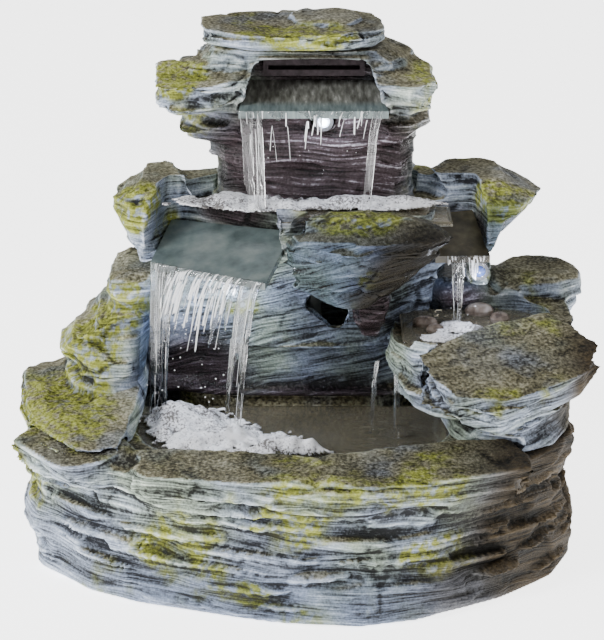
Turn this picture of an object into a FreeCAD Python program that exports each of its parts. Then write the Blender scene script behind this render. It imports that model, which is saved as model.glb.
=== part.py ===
"""Tabletop rock-cascade fountain, modelled as its separate castings, slates, lamps and pump set.

Millimetres. +X is the right-hand side seen from the front, +Y points to the back, +Z is up.
The origin is on the table, under the middle of the fountain.
Water rises from the pump through the riser hose to the top alcove, runs over three slate
spill plates from tier to tier, and falls back into the pool around the pump tower.
"""
import FreeCAD
import Part
import math
import os
from FreeCAD import Rotation, Vector

# Driving heights, from the table upwards
FOOT_PROUD = 2.0          # the pads hold the casting this far off the table
BASIN_HEIGHT = 116.0      # casting underside to the rim
FLOOR_THICKNESS = 10.0    # floor of the tub
TOWER_RISE = 122.0        # basin rim to the seat of the middle tier
MID_FLOOR_RISE = 45.0     # tower top to the floor of the middle pool
HEAD_RISE = 136.0         # middle pool floor to the seat of the cap stone
RIGHT_FLOOR_RISE = 68.0   # basin rim to the floor of the right-hand pool
BED = 16.0                # usual thickness of a rock bed
BED_EDGE = 1.6            # height of the broken edge between two beds

# Resin walls, and the gaps between separate pieces
WALL = 9.0                # thickness of the cast shells
RUNNING_GAP = 0.3         # between pieces that move apart
HOSE_GAP = 1.0            # around the hose where it passes through a casting

CAST_BOTTOM = FOOT_PROUD
FLOOR_TOP = CAST_BOTTOM + FLOOR_THICKNESS
RIM = CAST_BOTTOM + BASIN_HEIGHT
TOWER_TOP = RIM + TOWER_RISE
MID_FLOOR = TOWER_TOP + MID_FLOOR_RISE
HEAD_TOP = MID_FLOOR + HEAD_RISE
RIGHT_FLOOR = RIM + RIGHT_FLOOR_RISE
CUT_PAST = 30.0           # how far a cutter runs past the face that it opens

# Slate spill plates
SLATE_THICKNESS = 6.0
TOP_LIP_DROP = 46.0       # edge that the top sheet falls from, below the cap's seat
TOP_LIP_SLOPE = 12.0      # degrees
MID_LIP_RISE = 5.0        # tower top to the edge of the wide left-hand fall
MID_LIP_SLOPE = 18.0
SPOUT_LIP_RISE = 9.0      # tower top to the edge of the narrow right-hand fall
SPOUT_LIP_SLOPE = 26.0

# Rear access panel
PANEL_WIDTH = 120.0
PANEL_HEIGHT = 84.0
PANEL_X = 10.0            # middle of the panel
PANEL_SILL = 14.0         # basin rim to the foot of the opening
PANEL_REBATE = 7.0        # flat border that the panel's flange covers
PANEL_SEAT_Y = 147.0
SEAL_THICKNESS = 2.0
PANEL_MARGIN = 1.0        # play of the flange in its rebate and of the spigot in the opening
SPIGOT_LENGTH = 6.0
GRIP_WIDTH = 34.0
GRIP_HEIGHT = 12.0
GRIP_PROUD = 2.0          # the grip stands this far out of the rock

# Pump set
PUMP_X = 10.0
PUMP_LENGTH = 44.0
PUMP_WIDTH = 46.0
PUMP_HEIGHT = 48.0
CUP_HEIGHT = 6.0
CUP_RADIUS = 8.0
COVER_LENGTH = 9.0
ROTOR_RADIUS = 8.5
ROTOR_LENGTH = 22.0
VANE_RADIUS = 14.0
VANE_LENGTH = 8.0
VANE_COUNT = 6
SHAFT_RADIUS = 1.5
BUSH_RADIUS = 4.0
BUSH_LENGTH = 4.0
DIAL_RADIUS = 9.0
DIAL_THICKNESS = 4.0
NOZZLE_LENGTH = 22.0
COLLAR_PROUD = 1.0        # the nozzle's collar stands this far out past the hose

# Riser hose
HOSE_RADIUS = 8.0
HOSE_BORE = 6.0
HOSE_BEND = 20.0          # radius of the quarter bend
HOSE_TAIL = 8.0           # straight end of the hose, on the spreader's stub
HOSE_FIT = 0.05           # between the hose's bore and the stubs that it is pushed on
OUTLET_RISE = 28.0        # top slate's edge to the axis of the hose's tail
CLIP_WIDTH = 7.0
CLIP_THICKNESS = 1.6

# Lamps
LAMP_RADIUS = 6.0
LAMP_LENGTH = 14.0
FLANGE_RADIUS = 8.0
FLANGE_THICKNESS = 3.0
LENS_RADIUS = 5.0
LENS_DOME = 3.0
LAMP_SEAL = 1.5
LAMP_DROP = 14.0          # edge of the fall, or tower top, to the lamp's axis
LAMP_MARGIN = 2.0         # slate's underside to the flange of the right-hand lamp
TOP_LAMP = (18, 58)
MIDDLE_LAMP = (-62, 54)
RIGHT_LAMP = (150, 50)

# Drain, lead outlet and feet
DRAIN_X = -70.0
DRAIN_RISE = 22.0         # casting underside to the drain's axis
DRAIN_RADIUS = 8.0
DRAIN_HEAD_RADIUS = 13.0
DRAIN_HEAD = 5.0
DRAIN_MARGIN = 1.0        # round the plug's head in its seat
DRAIN_SEAT_Y = 154.0
LEAD_X = -92.0
LEAD_RISE = 30.0          # basin rim to the axis of the lead's grommet
LEAD_BORE = 3.5
GROMMET_RADIUS = 7.0
GROMMET_FLANGE = 10.0
PAD_RADIUS = 15.0
PAD_SOCKET = 2.0


UP = Vector(0, 0, 1)
BACKWARD = Vector(0, 1, 0)
FORWARD = Vector(0, -1, 0)


# Rock forms
# A rock is a stack of ring-shaped levels. Each level is (rise, left, right, front, back):
# its height above the rock's seat and how far it reaches on the four sides.

SLAB_GIRTH = [(0, 0.80), (0.3, 0.97), (0.40, 0.91), (0.78, 1.0), (1.0, 0.95)]   # height and girth of a slab
SLAB_ROUGHNESS = 0.26     # how far a slab's corners are broken back, as a share of its reach


def beds(levels):
    """Rings of the rock beds through the levels, each with the number of its bed."""
    rings = [(0, levels[0])]
    for lower, upper in zip(levels, levels[1:]):
        gap = upper[0] - lower[0]
        count = max(1, round(gap / BED))
        edge = min(BED_EDGE, gap / count / 4)
        for k in range(count):
            number = len(rings)
            for rise in (gap * k / count + edge, gap * (k + 1) / count):
                share = rise / gap
                level = [low + share * (high - low) for low, high in zip(lower, upper)]
                rings.append((number, level))
    return rings


def ring(bed, level, seat, centre, facets, squareness, roughness, seed):
    """Corner points of one ring: a rounded outline with uneven facets, broken back by its bed.

    A bed is broken back over a few facets at a time, and its edge is chipped from facet to facet.
    """
    rise, left, right, front, back = level
    middle_x, middle_y = centre
    points = []
    for i in range(facets):
        turn = 2 * math.pi * (i + 0.28 * math.sin(seed + 2.4 * i)) / facets
        broken = math.sin(seed + 1.15 * i + 2.3 * bed)
        chipped = math.sin(seed + 3.7 * i + 1.4 * bed)
        chip = 1 - roughness * (1 + 0.7 * broken + 0.3 * chipped) / 2
        along, across = math.cos(turn), math.sin(turn)
        power = 2.0 / squareness[0 if across < 0 else 1]
        reach_x = right - middle_x if along >= 0 else middle_x - left
        reach_y = back - middle_y if across >= 0 else middle_y - front
        points.append(Vector(
            middle_x + math.copysign(abs(along) ** power, along) * reach_x * chip,
            middle_y + math.copysign(abs(across) ** power, across) * reach_y * chip,
            seat + rise))
    return points


def flat_face(points):
    return Part.Face(Part.makePolygon([*points, points[0]]))


def rock(levels, seat, centre, facets=22, squareness=(2.4, 2.4), roughness=0.05, seed=0.0, bedded=True):
    """A closed rock of flat facets. Squareness is 2 for an oval plan: front half, back half."""
    rows = beds(levels) if bedded else list(enumerate(levels))
    rings = [ring(bed, level, seat, centre, facets, squareness, roughness, seed) for bed, level in rows]
    faces = [flat_face(rings[0]), flat_face(rings[-1])]
    for lower, upper in zip(rings, rings[1:]):
        for i in range(facets):
            j = (i + 1) % facets
            faces.append(flat_face([lower[i], lower[j], upper[j]]))
            faces.append(flat_face([lower[i], upper[j], upper[i]]))
    solid = Part.makeSolid(Part.makeShell(faces))
    if solid.Volume < 0:
        solid.reverse()
    return solid


def slab(place, half_length, half_width, thickness, turn, tip, facets=9, seed=0.0):
    """A broken slab on its underside's middle. Tip is in degrees, forward and to the right."""
    levels = []
    for share, girth in SLAB_GIRTH:
        reach_x, reach_y = girth * half_length, girth * half_width
        levels.append((share * thickness, -reach_x, reach_x, -reach_y, reach_y))
    shape = rock(levels, 0, (0, 0), facets=facets, squareness=(3.2, 3.2), roughness=SLAB_ROUGHNESS,
                 seed=seed, bedded=False)
    tipped = Rotation(Vector(1, 0, 0), tip[0]).multiply(Rotation(BACKWARD, tip[1]))
    shape.Placement = FreeCAD.Placement(Vector(*place), tipped.multiply(Rotation(UP, turn)))
    return shape


def inset(levels, wall):
    """The same levels drawn in by a wall on every side."""
    return [(rise, left + wall, right - wall, front + wall, back - wall)
            for rise, left, right, front, back in levels]


def box(x_range, y_range, z_range):
    low = Vector(x_range[0], y_range[0], z_range[0])
    return Part.makeBox(x_range[1] - x_range[0], y_range[1] - y_range[0], z_range[1] - z_range[0], low)


def rod(radius, start, length, direction):
    return Part.makeCylinder(radius, length, start, direction)


def tube(outer, bore, start, length, direction):
    return rod(outer, start, length, direction).cut(rod(bore, start, length, direction))


def cut_all(shape, tools):
    for tool in tools:
        shape = shape.cut(tool)
    return shape


def without_chips(shape):
    """A casting's main solid, without the loose chips that a cut leaves."""
    return max(shape.Solids, key=lambda solid: solid.Volume)


# Slate plates
# Each plate is four plan corners, front left, front right, back right, back left. Its top
# slopes down to the front edge, which is level.

def slate_top(corners, lip_height, slope, past_lip=0.0):
    """The plate's four top corners, on the plane that climbs back from the level lip."""
    plan = [Vector(x, y, 0) for x, y in corners]
    lip_start = plan[0]
    inward = UP.cross(plan[1] - lip_start).normalize()
    climb = math.tan(math.radians(slope))
    plan[:2] = [point - inward * past_lip for point in plan[:2]]
    return [point + UP * (lip_height + climb * (point - lip_start).dot(inward)) for point in plan]


def slate(corners, lip_height, slope):
    return flat_face(slate_top(corners, lip_height, slope)).extrude(Vector(0, 0, -SLATE_THICKNESS))


def chute(corners, lip_height, slope, height):
    """The free space above a plate and before its lip, which is cut out of the castings."""
    return flat_face(slate_top(corners, lip_height, slope, CUT_PAST)).extrude(Vector(0, 0, height))


TOP_SLATE = [(-52, 35), (71, 35), (62, 92), (-47, 92)]
MID_SLATE = [(-127, 35), (-30, -20), (-8, 48), (-112, 94)]
SPOUT_SLATE = [(112, 38), (158, 40), (146, 90), (108, 84)]
TOP_LIP = HEAD_TOP - TOP_LIP_DROP
MID_LIP = TOWER_TOP + MID_LIP_RISE
SPOUT_LIP = TOWER_TOP + SPOUT_LIP_RISE


# Basin: one casting with the tub in its middle, hollow underneath round the tub

BASIN_CENTRE = (32, -2)
BASIN_ROUGHNESS = 0.06
DECK_THICKNESS = 18.0
BASIN_LEVELS = [
    (0, -240, 232, -160, 157),
    (9, -246, 238, -161, 160),
    (28, -249, 243, -161, 160),
    (52, -247, 234, -156, 158),
    (BASIN_HEIGHT - 38, -240, 232, -150, 157),
    (BASIN_HEIGHT - 26, -242, 236, -148, 156),
    (BASIN_HEIGHT - 20, -250, 240, -160, 157),
    (BASIN_HEIGHT - 7, -252, 241, -163, 158),
    (BASIN_HEIGHT, -246, 237, -154, 157)]
RIM_SLAB_THICKNESS = 32.0
RIM_SLAB_SUNK = 24.0      # how far the slabs' undersides lie below the rim
RIM_SLABS = [             # x, y, half length, half width, turn, tip forward, tip right, seed
    (96, -108, 108, 44, 12, 5, 1, 0.7),
    (-62, -112, 92, 38, -9, 5, -2, 2.1),
    (-186, -62, 62, 50, -52, 4, -4, 3.3)]
TUB_CENTRE = (0, 30)
TUB_LEVELS = [
    (0, -126, 119, -68, 149),
    (48, -134, 122, -79, 149),
    (BASIN_HEIGHT, -143, 126, -91, 149),
    (BASIN_HEIGHT + RIM_SLAB_THICKNESS, -143, 126, -91, 149)]


def narrowest(levels):
    """The reach on each side that every level keeps to."""
    lefts, rights, fronts, backs = list(zip(*levels))[1:]
    return max(lefts), min(rights), max(fronts), min(backs)


def basin():
    plan = dict(squareness=(1.8, 3.2), seed=1.3)
    outside = rock(BASIN_LEVELS, CAST_BOTTOM, BASIN_CENTRE, facets=30, roughness=BASIN_ROUGHNESS, **plan)
    for x, y, half_length, half_width, turn, forward, right, seed in RIM_SLABS:
        outside = outside.fuse(slab((x, y, RIM - RIM_SLAB_SUNK), half_length, half_width, RIM_SLAB_THICKNESS,
                                    turn, (forward, right), seed=seed))
    tub_shape = dict(facets=24, squareness=(3.4, 3.4), roughness=0.02, seed=4.1, bedded=False)
    tub = rock(TUB_LEVELS, FLOOR_TOP, TUB_CENTRE, **tub_shape)
    side = narrowest(BASIN_LEVELS)
    chip_depth = BASIN_ROUGHNESS * (side[1] - side[0]) / 2
    under = inset([(0, *side), (BASIN_HEIGHT - DECK_THICKNESS, *side)], WALL + chip_depth)
    hollow = rock(under, CAST_BOTTOM, BASIN_CENTRE, facets=18, roughness=0, bedded=False, **plan)
    tub_wall = inset([(0, *TUB_LEVELS[0][1:])], -WALL)
    tub_wall += [(rise + FLOOR_THICKNESS, *reach) for rise, *reach in inset(TUB_LEVELS, -WALL)]
    hollow = hollow.cut(rock(tub_wall, CAST_BOTTOM, TUB_CENTRE, **tub_shape))
    return outside.cut(tub).cut(hollow)


# Pump tower: a hollow column on the basin's rim that carries the middle tier, and its foot in the tub

TOWER_CENTRE = (10, 98)
TOWER_FOOT = [
    (0, -112, 98, 55, 143),
    (54, -114, 101, 51, 143),
    (RIM - FLOOR_TOP, -116, 104, 50, 143)]
TOWER_LEVELS = [
    (0, -134, 128, 46, 157),
    (6, -137, 129, 40, 158),
    (13, -136, 127, 52, 158),
    (32, -136, 126, 51, 158),
    (46, -137, 127, 44, 158),
    (54, -135, 125, 52, 157),
    (TOWER_RISE - 42, -134, 126, 46, 156),
    (TOWER_RISE - 24, -130, 131, 53, 155),
    (TOWER_RISE, -122, 136, 45, 153)]
INTAKE_WIDTH = 44.0
INTAKE_HEIGHT = 26.0
CLEFT = [(4, 84), (20, 97), (38, 76), (31, 60)]   # dark cleft in the fall's back wall: x and rise


def tower_rock(levels, seat):
    return rock(levels, seat, TOWER_CENTRE, facets=20, squareness=(3.0, 3.0), roughness=0.05, seed=2.2)


def tower_hollow():
    shape = dict(facets=16, squareness=(3.4, 3.4), roughness=0.0, seed=2.2, bedded=False)
    narrow = inset(TOWER_FOOT, WALL)
    first, last = narrow[0], narrow[-1]
    span = TOWER_TOP - FLOOR_TOP
    return rock([(-CUT_PAST, *first[1:]), (span + CUT_PAST, *last[1:])], FLOOR_TOP, TOWER_CENTRE, **shape)


def panel_range(margin):
    """X and Z ranges of the access opening, grown by a margin."""
    half = PANEL_WIDTH / 2 + margin
    foot = RIM + PANEL_SILL
    return (PANEL_X - half, PANEL_X + half), (foot - margin, foot + PANEL_HEIGHT + margin)


def tower_foot():
    shell = tower_rock(TOWER_FOOT, FLOOR_TOP).cut(tower_hollow())
    half = INTAKE_WIDTH / 2
    front = TOWER_FOOT[0][3]
    intake = box((PUMP_X - half, PUMP_X + half), (front - CUT_PAST, front + CUT_PAST),
                 (FLOOR_TOP - CUT_PAST, FLOOR_TOP + INTAKE_HEIGHT))
    return shell.cut(intake)


def tower(outside):
    shell = outside.cut(tower_hollow())
    across, upright = panel_range(0)
    shell = shell.cut(box(across, (PANEL_SEAT_Y - CUT_PAST, PANEL_SEAT_Y + CUT_PAST), upright))
    across, upright = panel_range(PANEL_REBATE)
    shell = shell.cut(box(across, (PANEL_SEAT_Y, PANEL_SEAT_Y + CUT_PAST), upright))
    front = TOWER_FOOT[0][3]
    cleft = flat_face([Vector(x, front - CUT_PAST, RIM + rise) for x, rise in CLEFT])
    cleft = cleft.extrude(Vector(0, 2 * CUT_PAST, 0))
    return shell.cut(cleft).cut(lead_hole())


# Lead outlet: a rubber grommet through the tower's back wall, with a flat seat on both sides

GROMMET_FACE_Y = 148.0
GROMMET_INNER_Y = TOWER_FOOT[-1][4] - WALL
GROMMET_LIP = 2.0
LEAD_Z = RIM + LEAD_RISE


def on_lead(y):
    return Vector(LEAD_X, y, LEAD_Z)


def lead_hole():
    seat_radius = GROMMET_FLANGE + RUNNING_GAP
    hole = rod(GROMMET_RADIUS, on_lead(GROMMET_INNER_Y - CUT_PAST), 3 * CUT_PAST, BACKWARD)
    inner_seat = rod(seat_radius, on_lead(GROMMET_INNER_Y), CUT_PAST, FORWARD)
    outer_seat = rod(seat_radius, on_lead(GROMMET_FACE_Y), CUT_PAST, BACKWARD)
    return hole.fuse(inner_seat).fuse(outer_seat)


def grommet():
    start = on_lead(GROMMET_INNER_Y - GROMMET_LIP)
    length = GROMMET_FACE_Y - GROMMET_INNER_Y + 2 * GROMMET_LIP
    body = rod(GROMMET_RADIUS, start, length, BACKWARD)
    inner = rod(GROMMET_FLANGE, start, GROMMET_LIP, BACKWARD)
    outer = rod(GROMMET_FLANGE, on_lead(GROMMET_FACE_Y), GROMMET_LIP, BACKWARD)
    return body.fuse(inner).fuse(outer).cut(rod(LEAD_BORE, start, length, BACKWARD))


# Left-hand rock: three ledges that step back as they climb

LEFT_CENTRE = (-155, 70)
LEFT_LEVELS = [
    (0, -244, -134, -98, 148),
    (5, -255, -131, -106, 150),
    (12, -246, -130, -98, 150),
    (19, -226, -132, -52, 150),
    (22, -208, -134, 2, 150),
    (34, -215, -131, -4, 150),
    (47, -217, -130, 0, 150),
    (64, -202, -128, 14, 149),
    (78, -182, -126, 26, 148),
    (83, -163, -125, 40, 147),
    (95, -173, -121, 32, 147),
    (106, -168, -120, 40, 146),
    (111, -150, -121, 54, 140)]


def left_rock():
    return rock(LEFT_LEVELS, RIM, LEFT_CENTRE, facets=20, squareness=(2.5, 2.5), roughness=0.13, seed=5.5)


# Right-hand tier: the pool bowl with the ledge behind it

RIGHT_CENTRE = (160, 40)
RIGHT_LEVELS = [
    (0, 113, 231, -80, 150),
    (20, 104, 234, -86, 150),
    (27, 74, 236, -88, 150),
    (42, 63, 240, -84, 150),
    (RIGHT_FLOOR_RISE - 2, 67, 238, -71, 150),
    (RIGHT_FLOOR_RISE + 14, 75, 234, -58, 149)]
LEDGE_CENTRE = (205, 108)
LEDGE_LEVELS = [
    (-8, 176, 238, 78, 148),
    (2, 164, 248, 68, 150),
    (13, 158, 252, 66, 151),
    (24, 164, 246, 78, 150),
    (30, 176, 234, 88, 146)]
RIGHT_POOL_CENTRE = (150, 25)
RIGHT_POOL_LEVELS = [
    (0, 86, 206, -34, 76),
    (7, 62, 212, -42, 80),
    (48, 58, 214, -46, 82)]


def right_tier():
    tier = rock(RIGHT_LEVELS, RIM, RIGHT_CENTRE, facets=20, squareness=(2.6, 2.6), roughness=0.07, seed=3.4)
    ledge = rock(LEDGE_LEVELS, RIGHT_FLOOR, LEDGE_CENTRE, facets=14, squareness=(2.6, 2.6),
                 roughness=0.06, seed=0.6)
    pool = rock(RIGHT_POOL_LEVELS, RIGHT_FLOOR, RIGHT_POOL_CENTRE, facets=18, seed=6.0, bedded=False)
    return tier.fuse(ledge).cut(pool)


# Flat stone in front of the right-hand pool

STONE_PLACE = (168, -42)
STONE_DROP = 26.0         # right-hand pool floor to the stone's underside
STONE_HALF_LENGTH = 89.0
STONE_HALF_WIDTH = 62.0
STONE_THICKNESS = 34.0
STONE_TURN = 40.0
STONE_TIP = (14.0, 3.0)   # forward, to the right


def flat_stone(thickness):
    place = (*STONE_PLACE, RIGHT_FLOOR - STONE_DROP)
    return slab(place, STONE_HALF_LENGTH, STONE_HALF_WIDTH, thickness, STONE_TURN, STONE_TIP,
                facets=11, seed=2.9)


# Middle tier: the pool bowl on the tower, with a bank at each end

MID_CENTRE = (15, 95)
MID_LEVELS = [
    (0, -118, 148, 30, 150),
    (14, -140, 160, 16, 153),
    (32, -150, 176, 4, 154),
    (MID_FLOOR_RISE + 3, -146, 172, -2, 153),
    (MID_FLOOR_RISE + 15, -136, 160, 6, 150)]
LEFT_BANK_CENTRE = (-135, 92)
LEFT_BANK_LEVELS = [
    (-2, -142, -114, 44, 146),
    (14, -156, -110, 38, 149),
    (MID_FLOOR_RISE - 10, -168, -106, 36, 151),
    (MID_FLOOR_RISE + 4, -168, -102, 40, 151),
    (MID_FLOOR_RISE + 12, -156, -98, 52, 150),
    (MID_FLOOR_RISE + 20, -138, -94, 68, 148)]
RIGHT_BANK_CENTRE = (155, 95)
RIGHT_BANK_LEVELS = [
    (-24, 138, 164, 54, 142),
    (-4, 135, 167, 42, 146),
    (18, 130, 175, 34, 149),
    (MID_FLOOR_RISE - 7, 124, 202, 36, 151),
    (MID_FLOOR_RISE + 6, 120, 210, 40, 151),
    (MID_FLOOR_RISE + 14, 112, 194, 54, 150),
    (MID_FLOOR_RISE + 23, 104, 174, 72, 147)]
MID_POOL_CENTRE = (15, 70)
MID_POOL_LEVELS = [
    (0, -96, 126, 14, 116),
    (10, -103, 134, 8, 122),
    (40, -108, 140, 2, 128)]
CHUTE_HEIGHT = 70.0


def mid_tier():
    bowl = rock(MID_LEVELS, TOWER_TOP, MID_CENTRE, facets=22, squareness=(2.6, 2.6), roughness=0.06, seed=1.8)
    left = rock(LEFT_BANK_LEVELS, TOWER_TOP, LEFT_BANK_CENTRE, facets=14, roughness=0.16, seed=4.6)
    right = rock(RIGHT_BANK_LEVELS, TOWER_TOP, RIGHT_BANK_CENTRE, facets=14, roughness=0.16, seed=0.9)
    pool = rock(MID_POOL_LEVELS, MID_FLOOR, MID_POOL_CENTRE, facets=20, squareness=(3.0, 3.0),
                roughness=0.03, seed=3.0, bedded=False)
    hose_hole = rod(HOSE_RADIUS + HOSE_GAP, Vector(PUMP_X, NOZZLE_Y, TOWER_TOP - CUT_PAST), 4 * CUT_PAST, UP)
    tier = bowl.cut(pool).fuse(left).fuse(right)
    tier = tier.cut(chute(MID_SLATE, MID_LIP, MID_LIP_SLOPE, CHUTE_HEIGHT))
    tier = tier.cut(chute(SPOUT_SLATE, SPOUT_LIP, SPOUT_LIP_SLOPE, CHUTE_HEIGHT))
    return tier.cut(hose_hole)


# Boulder that closes the middle pool at the front, and the stone that props it

BOULDER_CENTRE = (45, -2)
BOULDER_LEVELS = [
    (-18, 24, 56, -22, 14),
    (-4, -16, 84, -28, 22),
    (12, -26, 102, -38, 24),
    (28, -24, 124, -43, 24),
    (36, -20, 132, -44, 22),
    (MID_FLOOR_RISE - 2, -14, 126, -38, 20),
    (MID_FLOOR_RISE + 8, -8, 110, -18, 18),
    (MID_FLOOR_RISE + 14, 2, 94, -8, 14)]
PROP_CENTRE = (57, 26)
PROP_LEVELS = [
    (-56, 50, 66, 20, 60),
    (-40, 38, 78, 2, 60),
    (-26, 33, 82, -8, 60),
    (-12, 36, 80, -4, 60)]


def boulder():
    return rock(BOULDER_LEVELS, TOWER_TOP, BOULDER_CENTRE, facets=18, squareness=(2.3, 2.3),
                roughness=0.12, seed=3.3)


def prop_stone():
    return rock(PROP_LEVELS, TOWER_TOP, PROP_CENTRE, facets=10, squareness=(2.6, 2.6),
                roughness=0.06, seed=1.1)


# Top tower: neck and head, with the alcove that the water comes from

HEAD_CENTRE = (10, 100)
HEAD_LEVELS = [
    (0, -83, 103, 54, 148),
    (20, -82, 104, 56, 149),
    (HEAD_RISE - 84, -86, 101, 54, 150),
    (HEAD_RISE - 80, -101, 104, 46, 150),
    (HEAD_RISE - 70, -117, 115, 40, 151),
    (HEAD_RISE - 63, -114, 117, 44, 151),
    (HEAD_RISE - 57, -102, 106, 50, 150),
    (HEAD_RISE - 52, -108, 106, 34, 151),
    (HEAD_RISE - 40, -112, 106, 32, 152),
    (HEAD_RISE - 25, -114, 106, 34, 152),
    (HEAD_RISE - 18, -112, 104, 40, 151),
    (HEAD_RISE - 12, -104, 98, 46, 150),
    (HEAD_RISE, -84, 72, 56, 148)]
SHOULDER_DROP = 47.0      # cap's seat to the undersides of the shoulder blocks
SHOULDER_THICKNESS = 30.0
SHOULDERS = [             # x, y, half length, half width, turn, tip forward, tip right, seed
    (-82, 68, 54, 48, 6, 7, -3, 1.2),
    (74, 68, 48, 48, -8, 7, 3, 4.4)]
ALCOVE_CENTRE = (10, 66)
ALCOVE_LEVELS = [
    (-4, -47, 66, -40, 88),
    (20, -44, 62, -40, 88),
    (36, -38, 54, -40, 86)]
RECESS_CENTRE = (10, 20)
RECESS_LEVELS = [
    (HEAD_RISE - 84, -56, 76, -40, 57),
    (HEAD_RISE - 66, -55, 74, -40, 58),
    (HEAD_RISE - 42, -53, 72, -40, 60)]
NECK_WALL = 16.0


def head_outside():
    head = rock(HEAD_LEVELS, MID_FLOOR, HEAD_CENTRE, facets=22, squareness=(2.9, 2.9),
                roughness=0.10, seed=0.4)
    for x, y, half_length, half_width, turn, forward, right, seed in SHOULDERS:
        head = head.fuse(slab((x, y, HEAD_TOP - SHOULDER_DROP), half_length, half_width, SHOULDER_THICKNESS,
                              turn, (forward, right), seed=seed))
    return head


def top_tower(head):
    across = (HEAD_LEVELS[0][1] + NECK_WALL, HEAD_LEVELS[0][2] - NECK_WALL)
    along = (ALCOVE_LEVELS[0][4] + WALL, HEAD_LEVELS[0][4] - NECK_WALL)
    hollow = box(across, along, (MID_FLOOR - CUT_PAST, HEAD_TOP - NECK_WALL))
    alcove = rock(ALCOVE_LEVELS, TOP_LIP, ALCOVE_CENTRE, facets=16, squareness=(4.5, 4.5),
                  roughness=0.02, seed=2.0, bedded=False)
    recess = rock(RECESS_LEVELS, MID_FLOOR, RECESS_CENTRE, facets=16, squareness=(6.0, 6.0),
                  roughness=0.02, seed=5.0, bedded=False)
    run = chute(TOP_SLATE, TOP_LIP, TOP_LIP_SLOPE, SLATE_THICKNESS)
    outlet = rod(HOSE_RADIUS + HOSE_GAP, Vector(PUMP_X, NOZZLE_Y, OUTLET_Z), 2 * CUT_PAST, FORWARD)
    return cut_all(head, [hollow, alcove, recess, run, outlet, spreader_space(RUNNING_GAP)])


# Cap stone: a slab with a thinner leaf of rock on it

CAP_CENTRE = (-6, 96)
CAP_LEVELS = [
    (0, -72, 68, 50, 144),
    (4, -90, 74, 40, 149),
    (11, -95, 78, 36, 151),
    (17, -91, 77, 44, 150)]
LEAF_CENTRE = (20, 104)
LEAF_LEVELS = [
    (15, -22, 58, 66, 140),
    (20, -14, 53, 72, 136),
    (23, -6, 44, 80, 130)]


def cap_stone():
    slab = rock(CAP_LEVELS, HEAD_TOP, CAP_CENTRE, facets=20, squareness=(2.8, 2.8), roughness=0.11, seed=1.6)
    leaf = rock(LEAF_LEVELS, HEAD_TOP, LEAF_CENTRE, facets=12, roughness=0.06, seed=3.9)
    return slab.fuse(leaf)


# Rear access panel: its outside continues the rock, its spigot plugs the opening

SEAL_Y = PANEL_SEAT_Y + RUNNING_GAP
FLANGE_Y = SEAL_Y + SEAL_THICKNESS


def access_panel(outside):
    across, upright = panel_range(PANEL_REBATE - PANEL_MARGIN)
    flange = outside.common(box(across, (FLANGE_Y, FLANGE_Y + CUT_PAST), upright))
    across, upright = panel_range(-PANEL_MARGIN)
    spigot = box(across, (PANEL_SEAT_Y - SPIGOT_LENGTH, FLANGE_Y), upright)
    half = GRIP_WIDTH / 2
    middle = sum(upright) / 2
    grip_face = TOWER_LEVELS[3][4] + GRIP_PROUD
    grip = box((PANEL_X - half, PANEL_X + half), (FLANGE_Y, grip_face), (middle, middle + GRIP_HEIGHT))
    return flange.fuse(spigot).fuse(grip)


def panel_seal():
    across, upright = panel_range(PANEL_REBATE - PANEL_MARGIN)
    pad = box(across, (SEAL_Y, FLANGE_Y), upright)
    across, upright = panel_range(-PANEL_MARGIN)
    return pad.cut(box(across, (SEAL_Y, FLANGE_Y), upright))


# Pump: motor block, intake cover, rotor, flow dial, nozzle and suction cups

PUMP_BOTTOM = FLOOR_TOP + CUP_HEIGHT
PUMP_TOP = PUMP_BOTTOM + PUMP_HEIGHT
SPREADER_BACK_GAP = 3.0   # spreader to the alcove's back wall
SPREADER_BACK_Y = ALCOVE_LEVELS[0][4] - SPREADER_BACK_GAP
NOZZLE_Y = SPREADER_BACK_Y + HOSE_TAIL + HOSE_BEND
ROTOR_CLEAR = 1.0
PUMP_FRONT_Y = NOZZLE_Y + VANE_LENGTH / 2 + ROTOR_CLEAR
PUMP_REAR_Y = PUMP_FRONT_Y - PUMP_LENGTH
COVER_FRONT_Y = PUMP_FRONT_Y + COVER_LENGTH
ROTOR_Z = PUMP_BOTTOM + PUMP_HEIGHT / 2
VANE_REAR_Y = PUMP_FRONT_Y - VANE_LENGTH - ROTOR_CLEAR
ROTOR_REAR_Y = VANE_REAR_Y - ROTOR_LENGTH
WELL_REAR_Y = ROTOR_REAR_Y - BUSH_LENGTH - ROTOR_CLEAR
NOZZLE_RADIUS = HOSE_BORE - HOSE_FIT
NOZZLE_BORE = 4.0
COVER_RECESS = 2.0
SLOT_COUNT = 5
SLOT_WIDTH = 3.0
RIB_COUNT = 6
RIB_DEPTH = 1.2


def on_axis(y):
    return Vector(PUMP_X, y, ROTOR_Z)


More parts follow.
